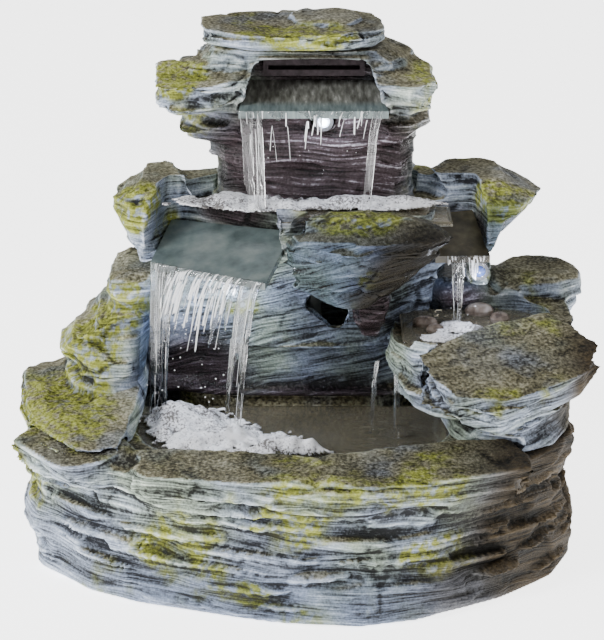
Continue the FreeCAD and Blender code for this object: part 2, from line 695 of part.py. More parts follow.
def pump_block():
    half = PUMP_WIDTH / 2
    block = box((PUMP_X - half, PUMP_X + half), (PUMP_REAR_Y, PUMP_FRONT_Y), (PUMP_BOTTOM, PUMP_TOP))
    upright = [edge for edge in block.Edges if abs(edge.tangentAt(edge.FirstParameter).y) > 0.9]
    block = block.makeFillet(PUMP_WIDTH / 8, upright)
    pitch = PUMP_LENGTH / (RIB_COUNT + 1)
    for i in range(RIB_COUNT):
        groove_y = PUMP_REAR_Y + pitch * (i + 0.75)
        for side in (-1, 1):
            x = PUMP_X + side * half
            groove = box((x - RIB_DEPTH, x + RIB_DEPTH), (groove_y, groove_y + pitch / 2),
                         (PUMP_BOTTOM + CUP_RADIUS, PUMP_TOP - CUP_RADIUS))
            block = block.cut(groove)
    rotor_well = rod(ROTOR_RADIUS + ROTOR_CLEAR, on_axis(WELL_REAR_Y), PUMP_LENGTH, BACKWARD)
    volute = rod(VANE_RADIUS + 2 * ROTOR_CLEAR, on_axis(VANE_REAR_Y - ROTOR_CLEAR), PUMP_LENGTH, BACKWARD)
    outlet = rod(NOZZLE_BORE, Vector(PUMP_X, NOZZLE_Y, ROTOR_Z), PUMP_HEIGHT, UP)
    return block.cut(rotor_well).cut(volute).cut(outlet)


def pump_cover():
    half = PUMP_WIDTH / 2
    cover = box((PUMP_X - half, PUMP_X + half), (PUMP_FRONT_Y, COVER_FRONT_Y), (PUMP_BOTTOM, PUMP_TOP))
    long_edges = [edge for edge in cover.Edges if abs(edge.tangentAt(edge.FirstParameter).y) > 0.9]
    cover = cover.makeFillet(PUMP_WIDTH / 8, long_edges)
    inside = rod(VANE_RADIUS, on_axis(PUMP_FRONT_Y), COVER_LENGTH / 2, BACKWARD)
    bush_seat = rod(BUSH_RADIUS, on_axis(PUMP_FRONT_Y), COVER_LENGTH / 2 + BUSH_LENGTH / 2, BACKWARD)
    dial_seat = rod(DIAL_RADIUS + RUNNING_GAP, dial_centre() - BACKWARD * COVER_RECESS, CUT_PAST, BACKWARD)
    cover = cover.cut(inside).cut(bush_seat).cut(dial_seat)
    pitch = 2 * VANE_RADIUS / SLOT_COUNT
    slot_top = ROTOR_Z - BUSH_RADIUS - SLOT_WIDTH / 2
    for i in range(SLOT_COUNT):
        x = PUMP_X - VANE_RADIUS + pitch * (i + 0.5)
        slot = box((x - SLOT_WIDTH / 2, x + SLOT_WIDTH / 2), (PUMP_FRONT_Y, COVER_FRONT_Y),
                   (PUMP_BOTTOM + 2 * SLOT_WIDTH, slot_top))
        cover = cover.cut(slot)
    return cover


def dial_centre():
    return Vector(PUMP_X, COVER_FRONT_Y, ROTOR_Z + VANE_RADIUS - SLOT_WIDTH)


DIAL_TAB = 3.0


def flow_dial():
    face = dial_centre() + BACKWARD * (RUNNING_GAP - COVER_RECESS)
    dial = rod(DIAL_RADIUS, face, DIAL_THICKNESS, BACKWARD)
    front = face.y + DIAL_THICKNESS
    tab = box((PUMP_X - DIAL_TAB / 2, PUMP_X + DIAL_TAB / 2), (front, front + DIAL_TAB),
              (face.z - DIAL_RADIUS * 0.8, face.z + DIAL_RADIUS * 0.8))
    return dial.fuse(tab)


SHAFT_GAP = 0.05
HUB_RADIUS = 5.0
VANE_THICKNESS = 1.6


def rotor_magnet():
    return tube(ROTOR_RADIUS, SHAFT_RADIUS + SHAFT_GAP, on_axis(ROTOR_REAR_Y), ROTOR_LENGTH, BACKWARD)


def rotor_vanes():
    start = on_axis(VANE_REAR_Y)
    wheel = rod(HUB_RADIUS, start, VANE_LENGTH, BACKWARD)
    vane = box((0, VANE_RADIUS), (0, VANE_LENGTH), (-VANE_THICKNESS / 2, VANE_THICKNESS / 2))
    for i in range(VANE_COUNT):
        turned = vane.copy()
        turned.Placement = FreeCAD.Placement(start, Rotation(BACKWARD, 360.0 * i / VANE_COUNT))
        wheel = wheel.fuse(turned)
    return wheel.cut(rod(SHAFT_RADIUS + SHAFT_GAP, start, VANE_LENGTH, BACKWARD))


def bush_starts():
    return WELL_REAR_Y, PUMP_FRONT_Y + COVER_LENGTH / 2 - BUSH_LENGTH / 2


def rotor_shaft():
    rear, front = bush_starts()
    return rod(SHAFT_RADIUS, on_axis(rear), front + BUSH_LENGTH - rear, BACKWARD)


def shaft_bushes():
    rear, front = bush_starts()
    rear_bush = tube(ROTOR_RADIUS + ROTOR_CLEAR, SHAFT_RADIUS, on_axis(rear), BUSH_LENGTH, BACKWARD)
    front_bush = tube(BUSH_RADIUS, SHAFT_RADIUS, on_axis(front), BUSH_LENGTH, BACKWARD)
    return Part.makeCompound([rear_bush, front_bush])


def pump_nozzle():
    start = Vector(PUMP_X, NOZZLE_Y, PUMP_TOP)
    nozzle = tube(NOZZLE_RADIUS, NOZZLE_BORE, start, NOZZLE_LENGTH, UP)
    collar = tube(HOSE_RADIUS + COLLAR_PROUD, NOZZLE_BORE, start, CLIP_WIDTH / 2, UP)
    return nozzle.fuse(collar)


def suction_cups():
    inset_x = PUMP_WIDTH / 2 - CUP_RADIUS
    cups = []
    for x in (PUMP_X - inset_x, PUMP_X + inset_x):
        for y in (PUMP_REAR_Y + CUP_RADIUS, PUMP_FRONT_Y - CUP_RADIUS):
            cups.append(Part.makeCone(CUP_RADIUS, CUP_RADIUS / 2, CUP_HEIGHT, Vector(x, y, FLOOR_TOP)))
    return Part.makeCompound(cups)


# Riser hose, its clips and the outlet spreader in the alcove

OUTLET_Z = TOP_LIP + OUTLET_RISE
HOSE_START_Z = PUMP_TOP + CLIP_WIDTH / 2
SPREADER_WIDTH = 84.0
SPREADER_DEPTH = 14.0
SPREADER_HEIGHT = 14.0
SPREADER_WALL = 2.0
SPREADER_SLOT = 4.0


def riser_hose():
    """A straight run up from the nozzle, a quarter bend and a short tail into the alcove."""
    foot = Vector(PUMP_X, NOZZLE_Y, HOSE_START_Z)
    tail = Vector(PUMP_X, NOZZLE_Y - HOSE_BEND, OUTLET_Z)
    bend_centre = tail - UP * HOSE_BEND
    walls = []
    for radius in (HOSE_RADIUS, HOSE_BORE):
        run = rod(radius, foot, bend_centre.z - foot.z, UP)
        bend = Part.makeTorus(HOSE_BEND, radius, bend_centre, Vector(1, 0, 0), 0, 360, 90)
        bend.rotate(bend_centre, Vector(1, 0, 0), -90)
        walls.append(run.fuse(bend).fuse(rod(radius, tail, HOSE_TAIL, FORWARD)))
    return walls[0].cut(walls[1])


def hose_clip(centre, direction):
    start = centre - direction * (CLIP_WIDTH / 2)
    return tube(HOSE_RADIUS + CLIP_THICKNESS, HOSE_RADIUS, start, CLIP_WIDTH, direction)


def hose_clips():
    lower = hose_clip(Vector(PUMP_X, NOZZLE_Y, HOSE_START_Z + CLIP_WIDTH), UP)
    upper = hose_clip(Vector(PUMP_X, NOZZLE_Y, OUTLET_Z - HOSE_BEND - CLIP_WIDTH), UP)
    return Part.makeCompound([lower, upper])


def spreader_space(margin):
    """The spreader's box, grown by a margin."""
    half_width = SPREADER_WIDTH / 2 + margin
    half_height = SPREADER_HEIGHT / 2 + margin
    front = SPREADER_BACK_Y - SPREADER_DEPTH
    return box((PUMP_X - half_width, PUMP_X + half_width), (front - margin, SPREADER_BACK_Y + margin),
               (OUTLET_Z - half_height, OUTLET_Z + half_height))


def outlet_spreader():
    wall = SPREADER_WALL
    half = SPREADER_WIDTH / 2 - 2 * wall
    front = SPREADER_BACK_Y - SPREADER_DEPTH
    slot = box((PUMP_X - half, PUMP_X + half), (front - wall, front + 2 * wall),
               (OUTLET_Z - SPREADER_SLOT / 2, OUTLET_Z + SPREADER_SLOT / 2))
    stub = rod(NOZZLE_RADIUS, Vector(PUMP_X, SPREADER_BACK_Y - wall, OUTLET_Z), HOSE_TAIL + wall, BACKWARD)
    bore = rod(NOZZLE_BORE, Vector(PUMP_X, SPREADER_BACK_Y - 2 * wall, OUTLET_Z), CUT_PAST, BACKWARD)
    return spreader_space(0).cut(spreader_space(-wall)).cut(slot).fuse(stub).cut(bore)


# Lamps: one behind each fall, sunk in the rock and facing forward

LAMPS = {
    "top": Vector(*TOP_LAMP, TOP_LIP - LAMP_DROP),
    "middle": Vector(*MIDDLE_LAMP, TOWER_TOP - LAMP_DROP),
    "right": Vector(*RIGHT_LAMP, SPOUT_LIP - SLATE_THICKNESS - FLANGE_RADIUS - LAMP_MARGIN)}


def lamp_pocket(face):
    """The space that a lamp takes up in the rock behind its face, and the clear space before it."""
    shank = rod(LAMP_RADIUS, face, LAMP_LENGTH, BACKWARD)
    return shank.fuse(rod(FLANGE_RADIUS, face, CUT_PAST, FORWARD))


def lens_base(face):
    return face - BACKWARD * LAMP_SEAL


def lamp_housing(face):
    base = lens_base(face)
    shank = rod(LAMP_RADIUS, base, LAMP_LENGTH + LAMP_SEAL, BACKWARD)
    flange = rod(FLANGE_RADIUS, base, FLANGE_THICKNESS, FORWARD)
    return shank.fuse(flange).cut(rod(LENS_RADIUS, base, CUT_PAST, FORWARD))


def lamp_lens(face):
    base = lens_base(face)
    barrel = rod(LENS_RADIUS, base, FLANGE_THICKNESS, FORWARD)
    ball_radius = (LENS_RADIUS ** 2 + LENS_DOME ** 2) / (2 * LENS_DOME)
    rim_y = base.y - FLANGE_THICKNESS
    ball = Part.makeSphere(ball_radius, Vector(base.x, rim_y + ball_radius - LENS_DOME, base.z))
    reach = ball_radius + CUT_PAST
    front = box((base.x - reach, base.x + reach), (rim_y - reach, rim_y), (base.z - reach, base.z + reach))
    return barrel.fuse(ball.common(front))


def lamp_seal(face):
    return tube(FLANGE_RADIUS, LAMP_RADIUS, face, LAMP_SEAL, FORWARD)


# Drain plug in the basin's back wall

DRAIN_Z = CAST_BOTTOM + DRAIN_RISE


def drain_pocket():
    hole = rod(DRAIN_RADIUS, Vector(DRAIN_X, DRAIN_SEAT_Y - CUT_PAST, DRAIN_Z), 2 * CUT_PAST, BACKWARD)
    seat = rod(DRAIN_HEAD_RADIUS + DRAIN_MARGIN, Vector(DRAIN_X, DRAIN_SEAT_Y, DRAIN_Z), CUT_PAST, BACKWARD)
    return hole.fuse(seat)


def drain_plug():
    inner_y = TUB_LEVELS[0][4]
    head_y = DRAIN_SEAT_Y + RUNNING_GAP
    shank = rod(DRAIN_RADIUS - RUNNING_GAP, Vector(DRAIN_X, inner_y, DRAIN_Z), head_y - inner_y, BACKWARD)
    head = rod(DRAIN_HEAD_RADIUS, Vector(DRAIN_X, head_y, DRAIN_Z), DRAIN_HEAD, BACKWARD)
    return shank.fuse(head)


# Rubber pads under the tub

PAD_PLACES = [(-100, -45), (92, -45), (-100, 118), (96, 118)]


def foot_pads():
    height = FOOT_PROUD + PAD_SOCKET
    return Part.makeCompound([rod(PAD_RADIUS, Vector(x, y, 0), height, UP) for x, y in PAD_PLACES])


# Loose pebbles on the floor of the right-hand pool: x, y, half length, half width, half height

PEBBLES = [(152, 62, 13, 8, 7), (104, 34, 11, 7, 6), (112, 20, 8, 6, 5), (168, 44, 9, 7, 6)]
PEBBLE_GIRTH = [(0, 0.7), (0.5, 0.95), (1.0, 1.0), (1.5, 0.8), (1.75, 0.45)]   # rise and girth


def pebble(x, y, half_length, half_width, half_height):
    levels = []
    for rise, girth in PEBBLE_GIRTH:
        reach_x, reach_y = girth * half_length, girth * half_width
        levels.append((rise * half_height, x - reach_x, x + reach_x, y - reach_y, y + reach_y))
    return rock(levels, RIGHT_FLOOR, (x, y), facets=12, squareness=(2.0, 2.0),
                roughness=0.04, seed=x, bedded=False)


def pebbles():
    return Part.makeCompound([pebble(*sizes) for sizes in PEBBLES])


def build():
    """Every piece by its name, each cut to seat on the pieces that carry it."""
    pockets = {name: lamp_pocket(face) for name, face in LAMPS.items()}
    slates = {
        "top_spill_slate": slate(TOP_SLATE, TOP_LIP, TOP_LIP_SLOPE),
        "middle_spill_slate": slate(MID_SLATE, MID_LIP, MID_LIP_SLOPE),
        "right_spill_slate": slate(SPOUT_SLATE, SPOUT_LIP, SPOUT_LIP_SLOPE)}
    pads = foot_pads()
    outside = tower_rock(TOWER_LEVELS, RIM)
    basin_shell = cut_all(basin(), [pads, drain_pocket()])
    tower_shell = cut_all(tower(outside), [pockets["middle"]])
    stone = flat_stone(STONE_THICKNESS)
    over_stone = flat_stone(STONE_THICKNESS + CUT_PAST)
    right = cut_all(right_tier(), [basin_shell, outside, stone, over_stone])
    stone = stone.cut(outside)
    left = cut_all(left_rock(), [basin_shell, outside])
    front_boulder = boulder()
    head = head_outside()
    top = cut_all(top_tower(head), [slates["top_spill_slate"], pockets["top"]])
    middle = cut_all(mid_tier(), [outside, head, front_boulder, slates["middle_spill_slate"],
                                  slates["right_spill_slate"], pockets["right"], pockets["middle"]])
    front_boulder = front_boulder.cut(slates["middle_spill_slate"])
    middle_slate = slates["middle_spill_slate"].cut(outside)
    prop = cut_all(prop_stone(), [outside, front_boulder, middle])
    left = left.cut(middle)
    right = without_chips(cut_all(right, [middle, prop]))
    pieces = {
        "basin": basin_shell, "tower_foot": tower_foot(), "pump_tower": tower_shell, "left_rock": left,
        "right_tier": right, "flat_stone": stone, "middle_tier": middle, "front_boulder": front_boulder,
        "prop_stone": prop, "top_tower": top, "cap_stone": cap_stone(),
        "top_spill_slate": slates["top_spill_slate"], "middle_spill_slate": middle_slate,
        "right_spill_slate": slates["right_spill_slate"], "pool_pebbles": pebbles(),
        "access_panel": access_panel(outside), "panel_seal": panel_seal(),
        "foot_pads": pads, "drain_plug": drain_plug(), "lead_grommet": grommet(),
        "pump_block": pump_block(), "pump_cover": pump_cover(), "pump_nozzle": pump_nozzle(),
        "flow_dial": flow_dial(), "rotor_magnet": rotor_magnet(), "rotor_vanes": rotor_vanes(),
        "rotor_shaft": rotor_shaft(), "shaft_bushes": shaft_bushes(), "suction_cups": suction_cups(),
        "riser_hose": riser_hose(), "hose_clips": hose_clips(), "outlet_spreader": outlet_spreader()}
    for name, face in LAMPS.items():
        pieces[f"lamp_housing_{name}"] = lamp_housing(face)
        pieces[f"lamp_lens_{name}"] = lamp_lens(face)
        pieces[f"lamp_seal_{name}"] = lamp_seal(face)
    return pieces


def main():
    os.makedirs("parts", exist_ok=True)
    for name, shape in build().items():
        shape.exportStep(os.path.join("parts", name + ".step"))


main()
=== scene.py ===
import itertools
import math

import bmesh
import bpy
import numpy as np
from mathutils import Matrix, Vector
from mathutils.bvhtree import BVHTree


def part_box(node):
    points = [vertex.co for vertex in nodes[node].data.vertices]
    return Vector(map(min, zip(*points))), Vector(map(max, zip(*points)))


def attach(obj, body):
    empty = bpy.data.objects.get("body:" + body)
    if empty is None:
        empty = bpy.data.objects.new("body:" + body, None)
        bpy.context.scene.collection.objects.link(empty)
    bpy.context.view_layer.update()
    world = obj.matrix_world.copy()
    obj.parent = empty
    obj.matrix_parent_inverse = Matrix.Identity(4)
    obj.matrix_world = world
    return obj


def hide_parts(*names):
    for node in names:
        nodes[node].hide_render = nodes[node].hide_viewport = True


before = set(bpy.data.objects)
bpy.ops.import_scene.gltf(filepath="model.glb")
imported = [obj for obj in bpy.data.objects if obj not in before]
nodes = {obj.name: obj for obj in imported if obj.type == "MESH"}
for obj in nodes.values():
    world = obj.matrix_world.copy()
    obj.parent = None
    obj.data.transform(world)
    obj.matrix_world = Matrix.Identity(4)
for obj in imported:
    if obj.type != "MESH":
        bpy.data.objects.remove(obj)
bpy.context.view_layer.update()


# Feet, plug, grommet, cups and seals
# Moulded black rubber, slightly dusty where it is handled. The pads are glued into sockets
# under the tub, and the other pieces are pushed into their holes or clamped behind a flange.

def new_finish(name):
    finish = bpy.data.materials.new(name)
    finish.use_nodes = True
    return finish, finish.node_tree, finish.node_tree.nodes["Principled BSDF"]


def add(tree, kind, settings=None, **inputs):
    """A new shader node. An input given a socket is linked to it, any other value is set."""
    made = tree.nodes.new("ShaderNode" + kind)
    for key, value in (settings or {}).items():
        setattr(made, key, value)
    for key, value in inputs.items():
        target = made.inputs[key.replace("_", " ")]
        if isinstance(value, bpy.types.NodeSocket):
            tree.links.new(value, target)
        else:
            target.default_value = value
    return made


def ramp(tree, factor, *stops):
    """Colours that follow a factor, each stop a place from 0 to 1 and a colour."""
    made = add(tree, "ValToRGB", Fac=factor)
    elements = made.color_ramp.elements
    while len(elements) < len(stops):
        elements.new(0.5)
    for element, (place, colour) in zip(elements, stops):
        element.position = place
        element.color = (*colour, 1.0)
    return made.outputs["Color"]


def spread(tree, value, low, high, least=0.0, most=1.0):
    """A value between low and high drawn out to lie between least and most."""
    made = add(tree, "MapRange", Value=value, From_Min=low, From_Max=high,
               To_Min=least, To_Max=most)
    return made.outputs["Result"]


def own_place(tree):
    """The piece's own coordinates."""
    return add(tree, "TexCoord").outputs["Object"]


def speckle(tree, scale, detail=4.0, stretch=(1.0, 1.0, 1.0), place=None):
    """Noise on the piece's own coordinates, squeezed along an axis by a stretch above 1."""
    if place is None:
        place = own_place(tree)
    place = add(tree, "Mapping", Vector=place, Scale=stretch).outputs["Vector"]
    return add(tree, "TexNoise", Vector=place, Scale=scale, Detail=detail).outputs["Fac"]


def relief(tree, shader, height, distance, strength=1.0):
    bump = add(tree, "Bump", Height=height, Distance=distance, Strength=strength)
    tree.links.new(bump.outputs["Normal"], shader.inputs["Normal"])


def wear(tree, shader, noise, colours, roughness):
    """Colour and roughness that both follow one noise."""
    tree.links.new(ramp(tree, noise, *colours), shader.inputs["Base Color"])
    tree.links.new(spread(tree, noise, 0.0, 1.0, *roughness), shader.inputs["Roughness"])


def all_over(shader, **values):
    """Inputs of the shader that have one value all over."""
    for key, value in values.items():
        shader.inputs[key.replace("_", " ")].default_value = value


def dress(names, finish):
    for name in names:
        nodes[name].data.materials.clear()
        nodes[name].data.materials.append(finish)


def speckled(name, noise, colours, roughness, pieces):
    """A finish that follows a speckle of the given scale and detail, put on the pieces."""
    finish, tree, shader = new_finish(name)
    wear(tree, shader, speckle(tree, *noise), colours, roughness)
    dress(pieces, finish)
    return tree, shader


tree, shader = speckled(
    "black_rubber", (160.0, 5.0), [(0.3, (0.008, 0.008, 0.009)), (0.8, (0.035, 0.034, 0.033))],
    (0.55, 0.85), ["foot_pads", "drain_plug", "lead_grommet", "suction_cups", "panel_seal",
                   "lamp_seal_top", "lamp_seal_middle", "lamp_seal_right"])
relief(tree, shader, speckle(tree, 900.0), 0.0003, 0.5)
all_over(shader, Specular_IOR_Level=0.15)


# Basin
# A casting of resin and stone powder from a mould of split slate, with the pool tub in its
# middle. It is painted dark, then brushed pale on its edges, with ochre on its tops and moss
# green in patches.

def scatter(cells, seed):
    """A number from 0 to 1 for each whole-numbered cell, the same on every run.

    The large numbers only mix the bits of the cells."""
    x, y, z = (cells[:, i].astype(np.int64) for i in range(3))
    mixed = (x * 73856093) ^ (y * 19349663) ^ (z * 83492791) ^ (seed * 50331653 + 977)
    mixed = (mixed ^ (mixed >> 13)) * 1274126177
    return ((mixed ^ (mixed >> 16)) & 0xFFFFFF) / 0xFFFFFF


def smooth(part):
    """0 to 1 with a soft start and end."""
    return part * part * (3 - 2 * part)


def lumps(points, size, seed):
    """Smooth noise from 0 to 1 whose lumps are about the given size."""
    scaled = points / size
    cell = np.floor(scaled)
    part = smooth(scaled - cell)
    total = np.zeros(len(points))
    for corner in itertools.product((0, 1), repeat=3):
        weight = np.prod(np.where(corner, part, 1 - part), axis=1)
        total += weight * scatter(cell + corner, seed)
    return total


def beds(height, thickness, seed):
    """How far each bed of the stone stands out, 0 to 1, with a sharp step from bed to bed."""
    face, edge = 0.7, 0.3  # shares of a bed's thickness
    scaled = height / thickness
    bed = np.floor(scaled)
    step = np.clip((scaled - bed - face) / edge, 0, 1)
    cells = np.stack([bed, 0 * bed, 0 * bed], axis=1)
    here = scatter(cells, seed)
    return here + (scatter(cells + (1, 0, 0), seed) - here) * step


def between(low, high, value):
    """0 below low, 1 above high, smooth between them."""
    return smooth(np.clip((value - low) / (high - low), 0, 1))


def chunks(points, size, seed):
    """Irregular blocks: a number from 0 to 1 for each, and how far a point is inside its block."""
    scaled = points / size
    cell = np.floor(scaled)
    far = np.full(len(points), 9.0)
    nearest, second = far, far
    value = np.zeros(len(points))
    for corner in itertools.product((-1, 0, 1), repeat=3):
        here = cell + corner
        heart = here + np.stack([scatter(here, seed + k) for k in (1, 2, 3)], axis=1)
        away = np.linalg.norm(scaled - heart, axis=1)
        closer = away < nearest
        second = np.where(closer, nearest, np.minimum(second, away))
        value = np.where(closer, scatter(here, seed + 4), value)
        nearest = np.where(closer, away, nearest)
    return value, second - nearest


def mesh_points(mesh):
    points = np.empty(len(mesh.vertices) * 3)
    mesh.vertices.foreach_get("co", points)
    return points.reshape(-1, 3)


def mesh_normals(mesh):
    normals = np.empty(len(mesh.vertices) * 3)
    mesh.vertex_normals.foreach_get("vector", normals)
    return normals.reshape(-1, 3)


def move(mesh, points):
    mesh.vertices.foreach_set("co", points.ravel())
    mesh.update()


def neighbour_mean(mesh, values, rounds):
    """Each vertex's values averaged with its neighbours' a number of times."""
    edges = np.empty(len(mesh.edges) * 2, np.int32)
    mesh.edges.foreach_get("vertices", edges)
    first, second = edges[0::2], edges[1::2]
    count = np.bincount(edges, minlength=len(values)) + 1.0
    for _ in range(rounds):
        columns = []
        for column in values.T:
            total = column + np.bincount(first, column[second], len(column))
            columns.append((total + np.bincount(second, column[first], len(column))) / count)
        values = np.stack(columns, axis=1)
    return values


def paint(mesh, name, values):
    layer = mesh.attributes.new(name, "FLOAT", "POINT")
    layer.data.foreach_set("value", values.astype(np.float32))


def near(points, places):
    """1 at the places and 0 outside them.

    A place is a centre, its reach along X, Y and Z, and a strength if that isn't 1."""
    share = np.zeros(len(points))
    for centre, reach, *strength in places:
        distance = np.linalg.norm((points - centre) / reach, axis=1)
        share = np.maximum(share, (strength or [1.0])[0] * (1 - between(0.5, 1.0, distance)))
    return share


def even_copy(node, voxel, thin_walls):
    """A piece with the node's form in even faces, and the walls it had before, for ray casts.

    A thin wall is a place that is built up first, by its strength."""
    mesh = nodes[node].data.copy()
    form = bmesh.new()
    form.from_mesh(mesh)
    bmesh.ops.remove_doubles(form, verts=form.verts, dist=1e-5)
    built_up = near(np.array([vertex.co for vertex in form.verts]), thin_walls)
    ways = [vertex.normal.copy() for vertex in form.verts]
    for vertex, way, extra in zip(form.verts, ways, built_up):
        vertex.co += way * extra
    form.to_mesh(mesh)
    walls = BVHTree.FromBMesh(form)
    form.free()
    piece = bpy.data.objects.new(node + "_cast", mesh)
    bpy.context.collection.objects.link(piece)
    even = piece.modifiers.new("even", "REMESH")
    even.mode = "VOXEL"
    even.voxel_size = voxel
    evaluated = piece.evaluated_get(bpy.context.evaluated_depsgraph_get())
    mesh = bpy.data.meshes.new_from_object(evaluated)
    piece.modifiers.clear()
    piece.data = mesh
    return piece, walls


def split_stone(points, normals, seed, dip, ledges, breaks, folds):
    """How deep the stone is carved at each point, how high it is in the beds, and its cracks."""
    broad_warp, fine_warp, waver = 0.016, 0.005, 0.006
    warp = broad_warp * (lumps(points, 0.11, seed) - 0.5)
    warp += fine_warp * (lumps(points, 0.03, seed + 1) - 0.5)
    height = points[:, 2] + dip[0] * points[:, 0] + dip[1] * points[:, 1] + warp
    thick_bed, thin_bed = 0.014, 0.0052
    thick = beds(height, thick_bed, seed + 2)
    thin = beds(height + waver * lumps(points, 0.05, seed + 3), thin_bed, seed + 4)
    stepped = 0.25 + 0.75 * between(0.35, 0.65, lumps(points, 0.055, seed + 5))

    bend = np.stack([lumps(points, 0.035, seed + k) - 0.5 for k in (6, 7, 8)], axis=1)
    bent = np.column_stack([points[:, :2], height]) + 0.012 * bend
    block_size, flake_size = np.array([0.062, 0.062, 0.024]), np.array([0.024, 0.024, 0.0075])
    block, inset = chunks(bent, block_size, seed + 9)
    flake, _ = chunks(bent, flake_size, seed + 20)
    crack = 1 - between(0.0, 0.07, inset)
    crack = crack * between(0.58, 0.78, lumps(points, 0.05, seed + 33))

    lean, squeeze, fold_size = 0.9, 1.5, 0.06
    slope = points[:, 2] + lean * points[:, 0] * np.sign(lumps(points, 0.2, seed + 31) - 0.5)
    fold = lumps(np.column_stack([points[:, :2], squeeze * slope]), fold_size, seed + 32)

    crack_depth = 0.004
    hollow = ledges * stepped * (0.6 * (1 - thick) + 0.4 * (1 - thin))
    hollow += breaks * (0.7 * (1 - block) + 0.3 * (1 - flake) * stepped) + crack_depth * crack
    hollow += folds * fold * (1 - between(0.35, 0.75, abs(normals[:, 2])))
    return hollow, height, crack


def carve(node, voxel, seed, dip=(0.0, 0.0), ledges=0.005, breaks=0.006, folds=0.006, worn=0,
          brush=0.0, axis=None, moss=(), wet=(), damp_and_shade=(), shade=(), silt=(), pale=(), sound=(),
          scoops=(), swells=(), thin_walls=(), body="fountain"):
    """The casting of a CAD node with its beds, broken blocks and folds, each to its own depth.

    Its steep sides are worn smooth in a number of rounds first. Brush is how much more pale paint
    it has all over, the lists are the places of each paint, the rock stays whole at the sound
    places, and a scoop or a swell is a place where it is hollowed or stands out, its strength
    being how far. No wall loses more than a share of its thickness. Walls that face the axis, a
    point in plan, are the inner ones and are carved less."""
    piece, walls = even_copy(node, voxel, thin_walls)
    mesh = piece.data
    points, normals = mesh_points(mesh), mesh_normals(mesh)
    low, high = points.min(0), points.max(0)
    middle = (low + high) / 2 if axis is None else np.array([*axis, 0.0])
    facing = neighbour_mean(mesh, normals, 8)
    inside = ((facing * (points - middle))[:, :2].sum(1) < 0) & (abs(facing[:, 2]) < 0.7)
    if worn:
        steep = np.where(inside, 0.0, 1 - between(0.50, 0.80, abs(facing[:, 2])))
        points = points + steep[:, None] * (neighbour_mean(mesh, points, worn) - points)
        move(mesh, points)
        normals = mesh_normals(mesh)

    hollow, height, crack = split_stone(points, normals, seed, dip, ledges, breaks, folds)
    inner_share, level_loss, sound_loss, foot = 0.35, 0.4, 0.9, 0.012
    level = between(0.75, 0.95, abs(normals[:, 2]))
    raised = between(0.0, foot, points[:, 2] - low[2])
    hollow *= np.where(inside, inner_share, 1.0) * (1 - level_loss * level) * raised
    hollow = hollow * (1 - sound_loss * near(points, sound)) + near(points, scoops)
    wall_share, skin, thickest = 0.4, 0.001, 0.05
    through = [walls.ray_cast(start, way, thickest)[3] or thickest
               for start, way in zip(points - skin * normals, -normals)]
    hollow = np.minimum(hollow, wall_share * np.array(through)) - near(points, swells)
    shift = neighbour_mean(mesh, normals, 2) * neighbour_mean(mesh, hollow[:, None], 1)
    points = points - shift
    points[:, 2] = np.clip(points[:, 2], low[2], high[2])
    move(mesh, points)

    normals = mesh_normals(mesh)
    fine = ((points - neighbour_mean(mesh, points, 2)) * normals).sum(1)
    broad_shading = ((points - neighbour_mean(mesh, points, 14)) * normals).sum(1)
    fine_edge, broad_edge = 0.0026, 0.016
    # The fine term is the pale paint brushed on edges. The broad term is painted light and shade:
    # broad swells are lighter and broad hollows darker.
    crest_and_shading = 0.5 + brush + near(points, pale) + fine / fine_edge + broad_shading / broad_edge - 0.6 * crack
    top = between(0.50, 0.85, normals[:, 2])
    patches = 0.6 * lumps(points, 0.05, seed + 11) + 0.4 * lumps(points, 0.014, seed + 12)
    green = between(0.60, 0.90, patches + 0.42 * near(points, moss))
    paint(mesh, "crest_and_shading", np.clip(crest_and_shading, 0, 1))
    paint(mesh, "moss", green * (1 - 0.8 * near(points, wet)))
    paint(mesh, "earth", np.clip(top * (0.7 + 0.6 * patches) + near(points, silt), 0, 1))
    paint(mesh, "bed", height)
    paint(mesh, "wet", near(points, wet))
    # The damp list marks damp rock and places of painted shade alike.
    paint(mesh, "damp_and_shade", near(points, damp_and_shade))
    paint(mesh, "shade", near(points, shade))
    for face in mesh.polygons:
        face.use_smooth = True
    mesh.materials.clear()
    mesh.materials.append(cast_rock)
    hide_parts(node)
    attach(piece, body)


def attribute(tree, name):
    return add(tree, "Attribute", {"attribute_name": name}).outputs["Fac"]


def sum_of(tree, *terms, clamp=True):
    """The sum of (socket, weight, offset) terms, kept between 0 and 1 unless told not to."""
    total = None
    for socket, weight, offset in terms:
        term = add(tree, "Math", {"operation": "MULTIPLY_ADD"})
        tree.links.new(socket, term.inputs[0])
        term.inputs[1].default_value = weight
        term.inputs[2].default_value = offset
        if total is not None:
            both = add(tree, "Math", {"operation": "ADD"})
            tree.links.new(total, both.inputs[0])
            tree.links.new(term.outputs[0], both.inputs[1])
            term = both
        total = term.outputs[0]
    total.node.use_clamp = clamp
    return total


def product_of(tree, first, second):
    both = add(tree, "Math", {"operation": "MULTIPLY"})
    tree.links.new(first, both.inputs[0])
    tree.links.new(second, both.inputs[1])
    return both.outputs[0]


def mix(tree, factor, first, second, blend="MIX"):
    made = add(tree, "MixRGB", {"blend_type": blend}, Fac=factor, Color1=first, Color2=second)
    return made.outputs["Color"]


def coordinate(tree, axis):
    return add(tree, "SeparateXYZ", Vector=own_place(tree)).outputs[axis]


def along_beds(tree, stretch, detail):
    """Noise drawn out along the rock's beds, which follow each casting's own dip."""
    place = add(tree, "CombineXYZ", X=coordinate(tree, "X"), Y=coordinate(tree, "Y"),
                Z=attribute(tree, "bed")).outputs["Vector"]
    return speckle(tree, 1.0, detail, stretch, place)


